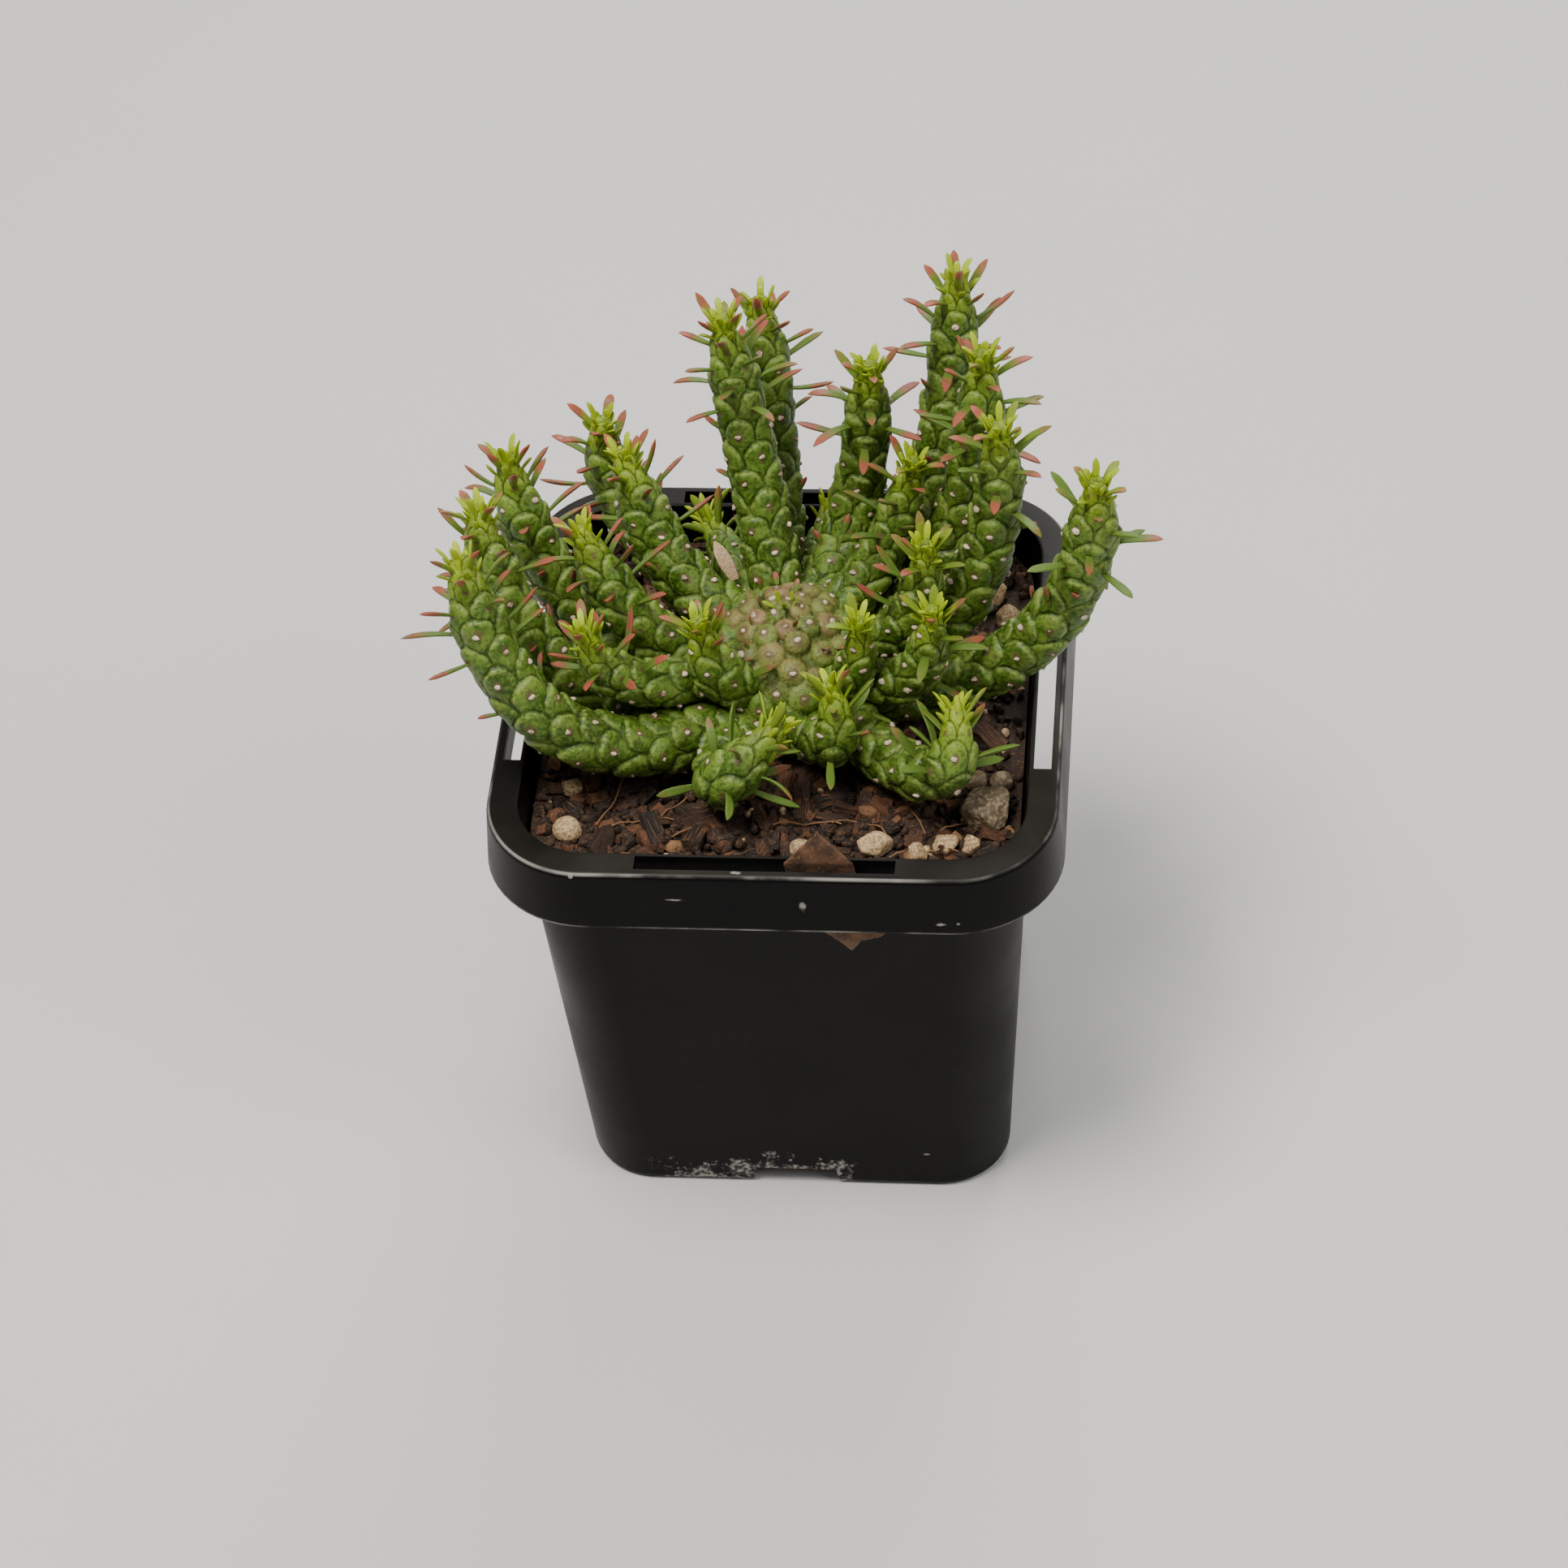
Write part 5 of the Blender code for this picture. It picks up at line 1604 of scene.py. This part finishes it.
    def extra_leaves(self, arm: Arm, bearing: set[tuple[int, int]]) -> list[Leaf]:
        """More leaves among those of the solid, small ones round the tip and withered ones lower down.

        Args:
            arm: The arm.
            bearing: Apexes that bear a leaf already; those of the new leaves are added.

        Returns:
            The new leaves.
        """
        draw = random.Random(SEED + 500 + arm.index)
        leaves = []
        for row, column, distance, angle in arm.apexes(0):
            if (row, column) in bearing:
                continue
            left = arm.length - distance
            chance, length_part = draw.random(), draw.uniform(0.7, 0.95)
            if left < LEAFY_LENGTH and chance < LEAF_CHANCE_EXTRA:
                wide, length = leaf_growth(left)
                leaf = arm.leaf_at(distance, angle, math.radians(wide), length * length_part,
                                   draw.uniform(*LEAF_DROOP), 0.9 * LEAF_WIDTH)
                leaf.young = leaf_youth(left)
            elif left < self.withered_length and chance < self.withered_chance:
                leaf = arm.leaf_at(distance, angle, math.radians(draw.uniform(*self.withered_spread)),
                                   draw.uniform(*self.withered_sizes) * MM, 0.0, 1.3 * MM)
                leaf.blush = 0.6
            else:
                continue
            if self.is_clear(leaf, arm):
                leaves.append(leaf)
                bearing.add((row, column))
        for down, count, lean, least, most in self.rosette_tiers:
            turn = draw.uniform(0, math.pi)
            for number in range(count):
                angle = turn + 2 * math.pi * number / count + draw.uniform(-0.2, 0.2)
                spread = math.radians(lean + draw.uniform(-8, 8))
                leaf = arm.leaf_at(arm.length - down, angle, spread, draw.uniform(least, most), 0.0, ROSETTE_WIDTH)
                leaf.young, leaf.blush = 1.0 - down / self.rosette_young_length, 0.0
                leaves.append(leaf)
        self.taken += [(arm, leaf.samples()) for leaf in leaves]
        return leaves

    def scars(self, arm: Arm, bearing: set[tuple[int, int]]) -> list[Chip]:
        """The pale scars that fallen leaves left on the scales.

        Args:
            arm: The arm.
            bearing: Apexes that still bear a leaf.

        Returns:
            The scars.
        """
        draw = random.Random(SEED + 900 + arm.index)
        scars = []
        for row, column, distance, angle in arm.apexes(0):
            if (row, column) not in bearing and arm.length - distance >= self.scar_free_length:
                point, tangent, outward = arm.surface(distance, angle, GROOVE + self.lift)
                width = draw.uniform(*self.scar_widths) * MM
                size = (width, width * draw.uniform(*self.scar_lengths), self.scar_height)
                scars.append(Chip(point, size, facing(unit(outward + 0.7 * tangent)), draw.random()))
        return scars

    def build(self) -> None:
        """Builds every arm with its leaves and scars."""
        grown = [self.solid_leaves(arm) for arm in self.arms]
        for arm, (leaves, bearing) in zip(self.arms, grown):
            name, seed = arm.plan.name, float(arm.index)
            leaves = leaves + self.extra_leaves(arm, bearing)
            grow(f"{name}_skin", arm.skin_mesh(), scaly_skin_tree(), Slot.PLANT, name, Lift=self.lift,
                 Unevenness=self.unevenness, Crease=self.crease, Dents=self.dents, Dent_scale=self.dent_scale,
                 Seed=seed, Material=self.skin)
            grow_leaves(f"{name}_leaves", leaves, SEED + 700 + arm.index, name, self.leaf, 0.4, 0.42)
            strew(f"{name}_scars", self.scars(arm, bearing), Grain.SCAR, Slot.PLANT, name, 0.45 * MM, self.scar,
                  2200.0, seed)
        root, middle, tip, face = (np.array(point) for point in self.sliver)
        grow_leaves("dry_sliver", [Leaf(root, middle, tip, face, 2.2 * MM, 0.0)], SEED, "arm_rear_left_outer",
                    SLIVER_FINISH.material(), 0.25, 0.5)


# Stem head
@dataclass
class StemHead:
    """The swollen head in the middle, crowded with small scales in spirals."""

    skin: Material
    leaf: Material
    scar: Material
    rings: int = 130
    segments: int = 240
    scales: int = 112
    spread: float = 1.3 * MM
    spread_power: float = 0.62
    overlap: float = 0.58
    rise: float = 0.62
    golden_turn: float = math.radians(137.508)
    shift: Triple = (0.16, 0.2, 0.1)
    slope_step: float = 0.4
    buried: Pair = mm(21, 24)
    crease_width: float = 0.32 * MM
    blush_length: float = 7.5 * MM
    top_height: float = 0.9 * MM
    small_leaves: int = 22
    young_leaves: int = 5

    def __post_init__(self) -> None:
        """Measures the outline from the crown down."""
        self.radii, self.heights = HEAD_OUTLINE[::-1].T
        self.runs = np.concatenate([[0.0], np.hypot(np.diff(self.heights), np.diff(self.radii)).cumsum()])

    def place(self, run: Any, turn: Any) -> tuple[np.ndarray, np.ndarray]:
        """Points on the head's plain surface and the way it faces there.

        Args:
            run: Distances down the outline.
            turn: Directions round the axis.

        Returns:
            The points and the outward directions.
        """
        (radius, high_r, low_r), (height, high_z, low_z) = (
            [np.interp(run + step * MM, self.runs, values) for step in (0.0, self.slope_step, -self.slope_step)]
            for values in (self.radii, self.heights))
        slope_r, slope_z = high_r - low_r, high_z - low_z
        size = np.hypot(slope_r, slope_z)
        cos, sin = np.cos(turn), np.sin(turn)
        points = HEAD_CENTRE + np.stack([radius * cos, radius * sin, height], axis=-1)
        return points, np.stack([-slope_z / size * cos, -slope_z / size * sin, slope_r / size], axis=-1)

    def scale_places(self) -> tuple[np.ndarray, np.ndarray, np.ndarray]:
        """Places and sizes of the scales, in a spiral of ever larger ones from the crown down.

        Returns:
            Distance down the outline, direction and half width of each.
        """
        number = np.arange(self.scales) + 0.6
        run = self.spread * number ** self.spread_power
        apart = np.sqrt(2 * math.pi * self.spread_power / number) * run
        draw = random.Random(SEED + 42)
        shifts = np.array([[draw.uniform(-1.0, 1.0) for _ in range(3)] for _ in number])
        down, aside, wider = self.shift
        turn = number * self.golden_turn + shifts[:, 1] * aside * apart / run
        return run + down * shifts[:, 0] * apart, turn, self.overlap * apart * (1 + wider * shifts[:, 2])

    def build(self) -> None:
        """Builds the head with its scars and the small leaves at its growing point."""
        draw = random.Random(SEED + 40)
        run = np.repeat(np.linspace(0.25 * MM, self.runs[-1], self.rings), self.segments)
        turn = np.tile(np.arange(self.segments) * 2 * math.pi / self.segments, self.rings)
        points, outward = self.place(run, turn)
        scale_run, scale_turn, reach = self.scale_places()
        scale_points, scale_out = self.place(scale_run, scale_turn)
        apart = np.linalg.norm(points[:, None] - scale_points[None], axis=2) / reach[None]
        domes = np.maximum(1 - apart ** 2.2, 0.0) ** 0.5 * reach[None] * self.rise
        nearest = domes.argmax(axis=1)
        second, lift = np.sort(domes, axis=1)[:, -2:].T
        tints, reddened = (np.array([draw.uniform(least, 1.0) for _ in scale_points])[nearest]
                           for least in (0.0, 0.1))
        buried = np.clip((run - self.buried[0]) / (self.buried[1] - self.buried[0]), 0.0, 1.0)
        values = {
            # line: the crease between domes, darkened in the skin shader as painted shade, partly the scales' own
            # dark outline.
            "line": (np.clip(1 - (lift - second) / self.crease_width, 0.0, 1.0), 0.0),
            # rim: pale band near each dome's top, partly own tone and partly painted highlight.
            "rim": (0.5 * np.clip(1 - np.abs(lift / (reach[nearest] * self.rise) - 0.72) / 0.14, 0.0, 1.0), 0.0),
            "tint": (tints, 0.5),
            "age": (np.full(len(points), 0.05), 0.05),
            "scar": (apart.min(axis=1) * reach[nearest], 1.0),
            "blush": (np.clip(1.9 - run / self.blush_length, 0.0, 1.0) * reddened, 0.5)}
        points = points + outward * (lift * (1 - buried))[:, None]
        crown, foot = (HEAD_CENTRE + np.array([0.0, 0.0, height])
                       for height in (HEAD_OUTLINE[-1, 1] + self.top_height, HEAD_OUTLINE[0, 1]))
        mesh = point_mesh("head_skin", np.concatenate([points, [crown, foot]]),
                          [face[::-1] for face in poled_faces(self.rings, self.segments)],
                          **{name: np.concatenate([value, [end, end]]) for name, (value, end) in values.items()})
        finish_piece(link_object("head_skin", dress(mesh, self.skin)), "stem_head")
        widths = [draw.uniform(0.7, 1.4) * MM for _ in scale_points]
        sizes = [(width, width * draw.uniform(0.6, 1.0), 0.45 * MM) for width in widths]
        tops = scale_points + scale_out * (reach * self.rise * 0.97)[:, None]
        scars = [Chip(top, size, facing(aim), draw.random()) for top, size, aim in zip(tops, sizes, scale_out)]
        strew("head_scars", scars, Grain.SCAR, Slot.PLANT, "stem_head", 0.35 * MM, self.scar, 2200.0, 1.0)
        leaves = [self.small_leaf(draw, number * self.golden_turn, number < self.young_leaves)
                  for number in range(self.small_leaves)]
        grow_leaves("head_small_leaves", leaves, SEED + 41, "stem_head", self.leaf, 0.3, 0.3)

    def small_leaf(self, draw: random.Random, turn: float, young: bool) -> Leaf:
        """A young leaf on the growing point or a withered one round it.

        Args:
            draw: The source of chance.
            turn: Its direction round the axis.
            young: Whether it is a young one.

        Returns:
            The leaf.
        """
        run = (draw.uniform(0.4, 1.6) if young else draw.uniform(3.0, 12.0)) * MM
        point, outward = self.place(run, turn)
        downhill = np.array([math.cos(turn), math.sin(turn), 0.0])
        lean = unit(outward + downhill * draw.uniform(-0.5, 0.7) * (0.5 if young else 1.5))
        root = point + outward * (0.6 if young else 1.0) * MM
        tip = root + lean * draw.uniform(1.4 if young else 1.2, 2.4) * MM
        face = unit(outward - 1.2 * downhill) if young else outward
        return Leaf(root, (root + tip) / 2, tip, face, 0.9 * MM, 0.0 if young else 0.9, 0.7 if young else 0.0)


# Soil
@dataclass(frozen=True)
class StonePlan:
    """A loose stone or piece of bark: place, half sizes, turn, how angular it is and its finish."""

    name: str
    place: Pair
    half_sizes: Triple
    turn: float
    facet_depth: float
    slot: Slot


STONE_PLANS = tuple(StonePlan(*plan) for plan in (
    ("stone_grey_large", (29.2, -21.9), (4.0, 3.4, 3.1), 20, 0.85, Slot.STONE),
    ("pebble_round", (-28.9, -26.8), (2.1, 2.0, 1.9), 0, 0.15, Slot.PUMICE),
    ("pumice_front", (14.2, -28.9), (2.5, 1.9, 1.9), 10, 0.9, Slot.PUMICE),
    ("pumice_middle", (4.0, -29.6), (1.7, 1.5, 1.5), 30, 0.9, Slot.PUMICE),
    ("pumice_corner_a", (24.0, -28.0), (1.9, 1.5, 1.6), 40, 0.9, Slot.PUMICE),
    ("pumice_corner_b", (20.3, -30.0), (1.6, 1.4, 1.4), 70, 0.9, Slot.PUMICE),
    ("pumice_corner_c", (28.0, -28.0), (1.5, 1.4, 1.3), 110, 0.9, Slot.PUMICE),
    ("pebble_grey_a", (31.7, -15.6), (1.7, 1.6, 1.4), 15, 0.6, Slot.STONE),
    ("pebble_grey_b", (27.9, -15.4), (1.7, 1.5, 1.4), 75, 0.6, Slot.STONE),
    ("pumice_rear_a", (28.7, 22.4), (2.2, 1.8, 1.9), 60, 0.9, Slot.PUMICE),
    ("pumice_rear_b", (31.2, 17.3), (1.9, 2.2, 1.8), 20, 0.9, Slot.PUMICE),
    ("pumice_side", (-29.4, -18.0), (1.5, 1.4, 1.2), 35, 0.9, Slot.PUMICE),
    ("bark_lump", (-27.0, 25.0), (3.3, 2.6, 2.4), 25, 0.9, Slot.BARK),
    ("bark_chip", (-24.0, -28.6), (3.0, 1.5, 1.3), 75, 0.9, Slot.BARK)))
STONE_FLAT = 0.55


def inner_half(height: float) -> float:
    """Half width of the pot's inside at a height."""
    slope = (SHOULDER_HALF - FOOT_HALF) / (POT_HEIGHT - LIP_PLATE - FLOOR)
    return FOOT_HALF - WALL + slope * (height - FLOOR)


BED_HALF = inner_half(SOIL_TOP) - SEAT_GAP
STEM_HOLE = head_radius(SOIL_TOP) + HEAD_HOLE_GAP


@dataclass
class SoilBed:
    """Soil that fills the pot, with bark flakes, crumbs, grit and thin roots on top."""

    arms: list[Arm]
    chip_count: int = 50
    chip_sizes: tuple[Pair, ...] = (mm(3.2, 7.0), mm(1.6, 3.4), mm(1.4, 2.4))
    chip_tilt: float = math.radians(24)
    chip_lift: float = 0.3 * MM
    chip_edge: float = 2.0 * MM
    chip_stem_gap: float = 1.0 * MM
    flakes: int = 520
    flake_sizes: tuple[Pair, ...] = (mm(1.0, 3.6), mm(0.7, 1.9), mm(0.4, 1.1))
    crumbs: int = 1250
    crumb_sizes: tuple[Pair, ...] = (mm(0.7, 2.1),) * 3
    lumps: int = 80
    lump_sizes: tuple[Pair, ...] = (mm(1.8, 4.2), mm(1.4, 3.0), mm(1.2, 2.4))
    grit: int = 190
    grit_sizes: tuple[Pair, ...] = (mm(0.6, 1.6),) * 3
    strewn_tilt: float = 0.5
    roots: int = 9
    root_step: float = 1.1 * MM
    root_half_width: float = 0.13 * MM
    rings: int = 46
    bed_steps: int = 24

    def bed_height(self, x: float, y: float) -> float:
        """Height of the loose surface over its mean."""
        coarse, fine = noise.noise(Vector((x, y, 0.0)) * 160.0), noise.noise(Vector((x, y, 0.3)) * 620.0)
        return (coarse * 0.75 + fine * 0.45) * MM

    def build_bed(self, material: Material) -> None:
        """Builds the soil's mass with its uneven top and the hole for the stem.

        Args:
            material: The soil's material.
        """
        low = FLOOR + SEAT_GAP
        outer = rounded_square(BED_HALF, BODY_CORNER, SOIL_TOP, self.bed_steps)
        rings = [rounded_square(inner_half(low) - SEAT_GAP, BODY_CORNER, low, self.bed_steps)]
        turns = np.arctan2(outer[:, 1], outer[:, 0])
        around = np.stack([np.cos(turns), np.sin(turns), np.zeros_like(turns)], axis=1)
        rim = HEAD_CENTRE + around * STEM_HOLE + np.array([0.0, 0.0, SOIL_TOP])
        for part in np.linspace(0.0, 1.0, self.rings):
            ring = outer * (1 - part) + rim * part
            for point in ring:
                point[2] += self.bed_height(point[0], point[1])
            rings.append(ring)
        hole_foot = np.array([0.0, 0.0, HEAD_OUTLINE[0, 1] - HEAD_HOLE_GAP])
        rings.append(HEAD_CENTRE + around * (HEAD_OUTLINE[1, 0] + HEAD_HOLE_GAP) + hole_foot)
        points = np.concatenate(rings)
        tints = np.array([0.5 + 0.9 * noise.noise(Vector(point) * 300.0) for point in points])
        mesh = dress(point_mesh("soil_bed", points, capped_faces(rings), tint=tints), material, 60)
        finish_piece(link_object("soil_bed", mesh), "soil")

    def is_clear(self, centre: Any, size: Any) -> bool:
        """Whether a chip keeps off the wall, the stem, the arms and the loose stones.

        Args:
            centre: Its middle.
            size: Its size.

        Returns:
            True where it does.
        """
        centre = np.array(centre)
        bulk = 0.5 * math.hypot(size[0], size[2])
        past = np.maximum(np.abs(centre[:2]) - (BED_HALF - BODY_CORNER), 0.0)
        stem_room = np.linalg.norm((centre - HEAD_CENTRE)[:2]) - head_radius(SOIL_TOP) - bulk
        if np.hypot(*past) > BODY_CORNER - bulk - SEAT_GAP or stem_room < self.chip_stem_gap:
            return False
        on_stone = (np.hypot(*(centre[:2] - mm(*plan.place))) < max(plan.half_sizes[:2]) * MM + bulk
                    for plan in STONE_PLANS)
        under_arm = ((np.linalg.norm(arm.points - centre, axis=1) < arm.radii * APEX + bulk + SEAT_GAP).any()
                     for arm in self.arms)
        return not (any(on_stone) or any(under_arm))

    def solid_chips(self) -> list[Chip]:
        """The bark chips that the soil's solid has, by the same draws.

        Returns:
            The chips.
        """
        draw = random.Random(SEED)
        reach = inner_half(SOIL_TOP) - self.chip_edge
        chips: list[Chip] = []
        while len(chips) < self.chip_count:
            size = [draw.uniform(*limits) for limits in self.chip_sizes]
            centre = (draw.uniform(-reach, reach), draw.uniform(-reach, reach), SOIL_TOP + self.chip_lift)
            turn = draw.uniform(0, math.pi)
            tilt = [draw.uniform(-self.chip_tilt, self.chip_tilt) for _ in range(2)]
            if self.is_clear(centre, size):
                chips.append(Chip(centre, size, (*tilt, turn), random.Random(len(chips)).random()))
        return chips

    def strewn_chips(self, draw: random.Random, count: int, sizes: tuple[Pair, ...], lift: float) -> list[Chip]:
        """Small pieces all over the surface.

        Args:
            draw: The source of chance.
            count: How many.
            sizes: Least and greatest length, width and thickness.
            lift: How high the middle of a piece lies over the surface, as a part of its thickness.

        Returns:
            The pieces.
        """
        chips: list[Chip] = []
        while len(chips) < count:
            size = [draw.uniform(*limits) for limits in sizes]
            place = np.array([draw.uniform(-BED_HALF, BED_HALF), draw.uniform(-BED_HALF, BED_HALF)])
            past = np.maximum(np.abs(place) - (BED_HALF - BODY_CORNER), 0.0)
            near_stem = np.hypot(*(place - HEAD_CENTRE[:2])) < STEM_HOLE
            if np.hypot(*past) <= BODY_CORNER - 0.55 * size[0] and not near_stem:
                height = SOIL_TOP + self.bed_height(*place) + lift * size[2]
                tilt = [draw.uniform(-self.strewn_tilt, self.strewn_tilt) for _ in range(2)]
                chips.append(Chip((*place, height), size, (*tilt, draw.uniform(0, math.pi)), draw.random()))
        return chips

    def build_roots(self, material: Material) -> None:
        """Lays a few thin dry roots over the chips.

        Args:
            material: Their material.
        """
        draw = random.Random(SEED + 60)
        points = []
        for _ in range(self.roots):
            x, y = draw.uniform(-26, 26) * MM, draw.uniform(-31, -24) * MM
            heading, turn = draw.uniform(0, math.pi), draw.uniform(-0.25, 0.25)
            for step in range(LEAF_STATIONS):
                points.append((x, y, SOIL_TOP + self.bed_height(x, y) + self.root_step + 0.4 * MM * math.sin(step)))
                x = min(max(x + self.root_step * math.cos(heading), -31 * MM), 31 * MM)
                y = min(max(y + self.root_step * math.sin(heading), -32 * MM), 31 * MM)
                heading += turn
        count = len(points)
        mesh = strand_mesh("root_lines", points, face=np.tile([0.0, 0.0, 1.0], (count, 1)),
                           half_width=np.full(count, self.root_half_width), tint=np.full(count, 0.9))
        grow("dry_roots", mesh, blade_tree(), Slot.SOIL, "soil", Section_points=6, Thickness=1.0, Channel=0.0,
             Material=material)

    def build(self) -> None:
        """Builds the bed and its layers."""
        soil, bark, pumice = SOIL_FINISH.material(), BarkFinish().material(), PUMICE_FINISH.material()
        draw = random.Random(SEED + 50)
        self.build_bed(soil)
        flakes = self.strewn_chips(draw, self.flakes, self.flake_sizes, 0.7)
        crumbs = self.strewn_chips(draw, self.crumbs, self.crumb_sizes, 0.25)
        lumps = [chip for chip in self.strewn_chips(draw, self.lumps, self.lump_sizes, 0.35)
                 if self.is_clear(chip.centre, chip.size)]
        grit = [chip for chip in self.strewn_chips(draw, self.grit, self.grit_sizes, 0.35)
                if chip.centre[0] - chip.centre[1] > draw.uniform(-30, 60) * MM]
        for name, chips, grain, slot, roughen, material in (
                ("bark_chips", self.solid_chips(), Grain.FLAKE, Slot.SOIL, 0.9, bark),
                ("bark_flakes", flakes, Grain.FLAKE, Slot.SOIL, 0.5, bark),
                ("soil_crumbs", crumbs, Grain.CRUMB, Slot.SOIL, 0.9, soil),
                ("bark_lumps", lumps, Grain.LUMP, Slot.SOIL, 1.5, bark),
                ("pumice_grit", grit, Grain.CRUMB, Slot.PUMICE, 0.6, pumice)):
            strew(name, chips, grain, slot, "soil", roughen * MM, material)
        self.build_roots(bark)


@dataclass
class LooseStones:
    """Stones and bark pieces that lie on the soil."""

    plans: tuple[StonePlan, ...] = STONE_PLANS

    def build(self) -> None:
        """Builds every stone."""
        tree = rock_tree()
        materials = {Slot.STONE: STONE_FINISH.material(), Slot.PUMICE: PUMICE_FINISH.material(),
                     Slot.BARK: BarkFinish().material()}
        rest = SOIL_TOP + SEAT_GAP
        for number, plan in enumerate(self.plans):
            half_sizes = mm(*plan.half_sizes)
            centre = (*mm(*plan.place), rest + STONE_FLAT * half_sizes[2])
            grow(f"{plan.name}_rock", point_mesh("rock_start", np.zeros((1, 3))), tree, plan.slot, plan.name,
                 Half_sizes=half_sizes, Place=centre, Turn=(0.0, 0.0, math.radians(plan.turn)), Rest_height=rest,
                 Facet_depth=plan.facet_depth, Pits=0.06 + 0.14 * plan.facet_depth,
                 Facet_turn=(1.3 * number, 0.7 * number, 0.4 * number), Steps=5 if max(half_sizes) > 3 * MM else 4,
                 Material=materials[plan.slot])


@dataclass
class DryLeaf:
    """The dry leaf that sticks through the slot in the front of the lip."""

    outline: tuple[Pair, ...] = (
        (7.4, 80.6), (9.2, 78.6), (12.2, 75.6), (13.4, 68.0), (17.8, 62.8), (15.4, 60.6), (12.6, 59.8),
        (11.1, 56.6), (9.4, 59.4), (6.6, 62.0), (3.4, 68.0), (2.6, 75.6), (5.6, 78.4))
    thick: float = 0.5 * MM
    step: float = 0.22 * MM

    def flat_leaf(self) -> Piece:
        """The leaf's outline as a flat sheet of even fine faces.

        Returns:
            The sheet.
        """
        curve = bpy.data.curves.new("dry_leaf_outline", "CURVE")
        curve.dimensions, curve.fill_mode, curve.extrude = "2D", "BOTH", self.thick / 2
        spline = curve.splines.new("POLY")
        spline.points.add(len(self.outline) - 1)
        for point, (x, z) in zip(spline.points, self.outline):
            point.co = (x * MM, z * MM, 0.0, 1.0)
        spline.use_cyclic_u = True
        guide = link_object("dry_leaf_guide", curve)
        leaf = link_object("curled_dry_leaf", bpy.data.meshes.new_from_object(guide))
        bpy.data.objects.remove(guide, do_unlink=True)
        remesh = leaf.modifiers.new("remesh", "REMESH")
        remesh.mode, remesh.voxel_size = "VOXEL", self.step
        bake_modifiers(leaf)
        return leaf

    def build(self) -> None:
        """Builds the leaf as a curled sheet."""
        leaf = self.flat_leaf()
        middle_y = -(SLOT_CENTRE - SLOT[1] / 2 + SEAT_GAP + 0.3 * MM)
        for vert in leaf.data.vertices:
            x, z, depth = vert.co
            over_lip = max(0.0, z - POT_HEIGHT)
            below = max(0.0, POT_HEIGHT - SKIRT_HEIGHT - z)
            curl = 0.25 * over_lip + 0.12 * below
            ripple = noise.noise(Vector((x, z, 0.0)) * 260.0) * min(over_lip + below, 2 * MM) * 0.3
            vert.co = (x, middle_y + depth + curl + ripple, z)
        leaf.data.flip_normals()
        dress(leaf.data, DryLeafFinish().material())
        finish_piece(leaf, "dry_leaf")


# Studio
@dataclass
class Studio:
    """Pale floor, soft light and the camera at the photograph's angle."""

    camera_place: Triple = (0.0619, -0.4604, 0.5279)
    camera_right: Triple = (0.9953, 0.079, -0.0563)
    camera_up: Triple = (-0.0175, 0.7165, 0.6974)
    focal_length: float = 104.2
    floor_half: float = 1.5
    lights: tuple[tuple[str, Triple, float, float, Triple], ...] = (
        ("key_light", (-0.2, -0.17, 0.91), 0.35, 9.8, (1.0, 0.97, 0.92)),
        ("side_light", (0.6, -0.25, 0.65), 0.4, 2.5, (1.0, 0.99, 0.97)),
        ("back_light", (0.1, 0.7, 0.6), 0.4, 4.0, (1.0, 1.0, 1.0)))

    def build_floor(self) -> None:
        """Lays the floor with a swept-up back."""
        half = self.floor_half
        sweep = [(0.6 + 0.5 * math.sin(a), 0.5 - 0.5 * math.cos(a)) for a in np.linspace(0.1, math.pi / 2, 12)]
        rows = [(-half, 0.0), (0.6, 0.0), *sweep, (1.1, 1.6)]
        points = [(x, y, z) for y, z in rows for x in (-half, half)]
        faces = [(2 * i, 2 * i + 1, 2 * i + 3, 2 * i + 2) for i in range(len(rows) - 1)]
        mesh = dress(point_mesh("studio_floor", points, faces), FloorFinish().material())
        link_object("studio_floor", mesh)

    def build_lights(self) -> None:
        """Hangs the soft lights, each aimed at the plant."""
        for name, place, size, power, colour in self.lights:
            data = bpy.data.lights.new(name, "AREA")
            data.size, data.energy, data.color = size, power, colour
            aim = (Vector((0.0, 0.0, 0.07)) - Vector(place)).to_track_quat("-Z", "Y")
            link_object(name, data).matrix_world = Matrix.Translation(place) @ aim.to_matrix().to_4x4()

    def build_camera(self) -> None:
        """Sets up the camera."""
        right, up = Vector(self.camera_right).normalized(), Vector(self.camera_up)
        up = (up - right * up.dot(right)).normalized()
        turn = Matrix((right, up, right.cross(up))).transposed().to_4x4()
        data = bpy.data.cameras.new("photo_camera")
        data.sensor_width, data.lens, data.clip_start = 36.0, self.focal_length, 0.01
        camera = link_object("photo_camera", data)
        camera.matrix_world = Matrix.Translation(self.camera_place) @ turn
        bpy.context.scene.camera = camera

    def build(self) -> None:
        """Builds the studio and fills it with faint even light."""
        self.build_floor()
        self.build_lights()
        self.build_camera()
        world = bpy.data.worlds.new("studio")
        world.use_nodes = True
        sky = world.node_tree.nodes["Background"].inputs
        sky["Color"].default_value, sky["Strength"].default_value = (0.9, 0.95, 1.0, 1.0), 0.2
        bpy.context.scene.world = world


def main() -> None:
    """Builds every piece.
    """
    noise.seed_set(SEED)
    Studio().build()
    NurseryPot().build()
    leaf, scar = LeafFinish().material(), SCAR_FINISH.material()
    whorl = ArmWhorl(SkinFinish().material(True), leaf, scar)
    whorl.build()
    StemHead(SkinFinish().material(False), leaf, scar).build()
    SoilBed(whorl.arms).build()
    LooseStones().build()
    DryLeaf().build()


if __name__ == "__main__":
    logging.basicConfig(level=logging.INFO, format="%(message)s")
    main()
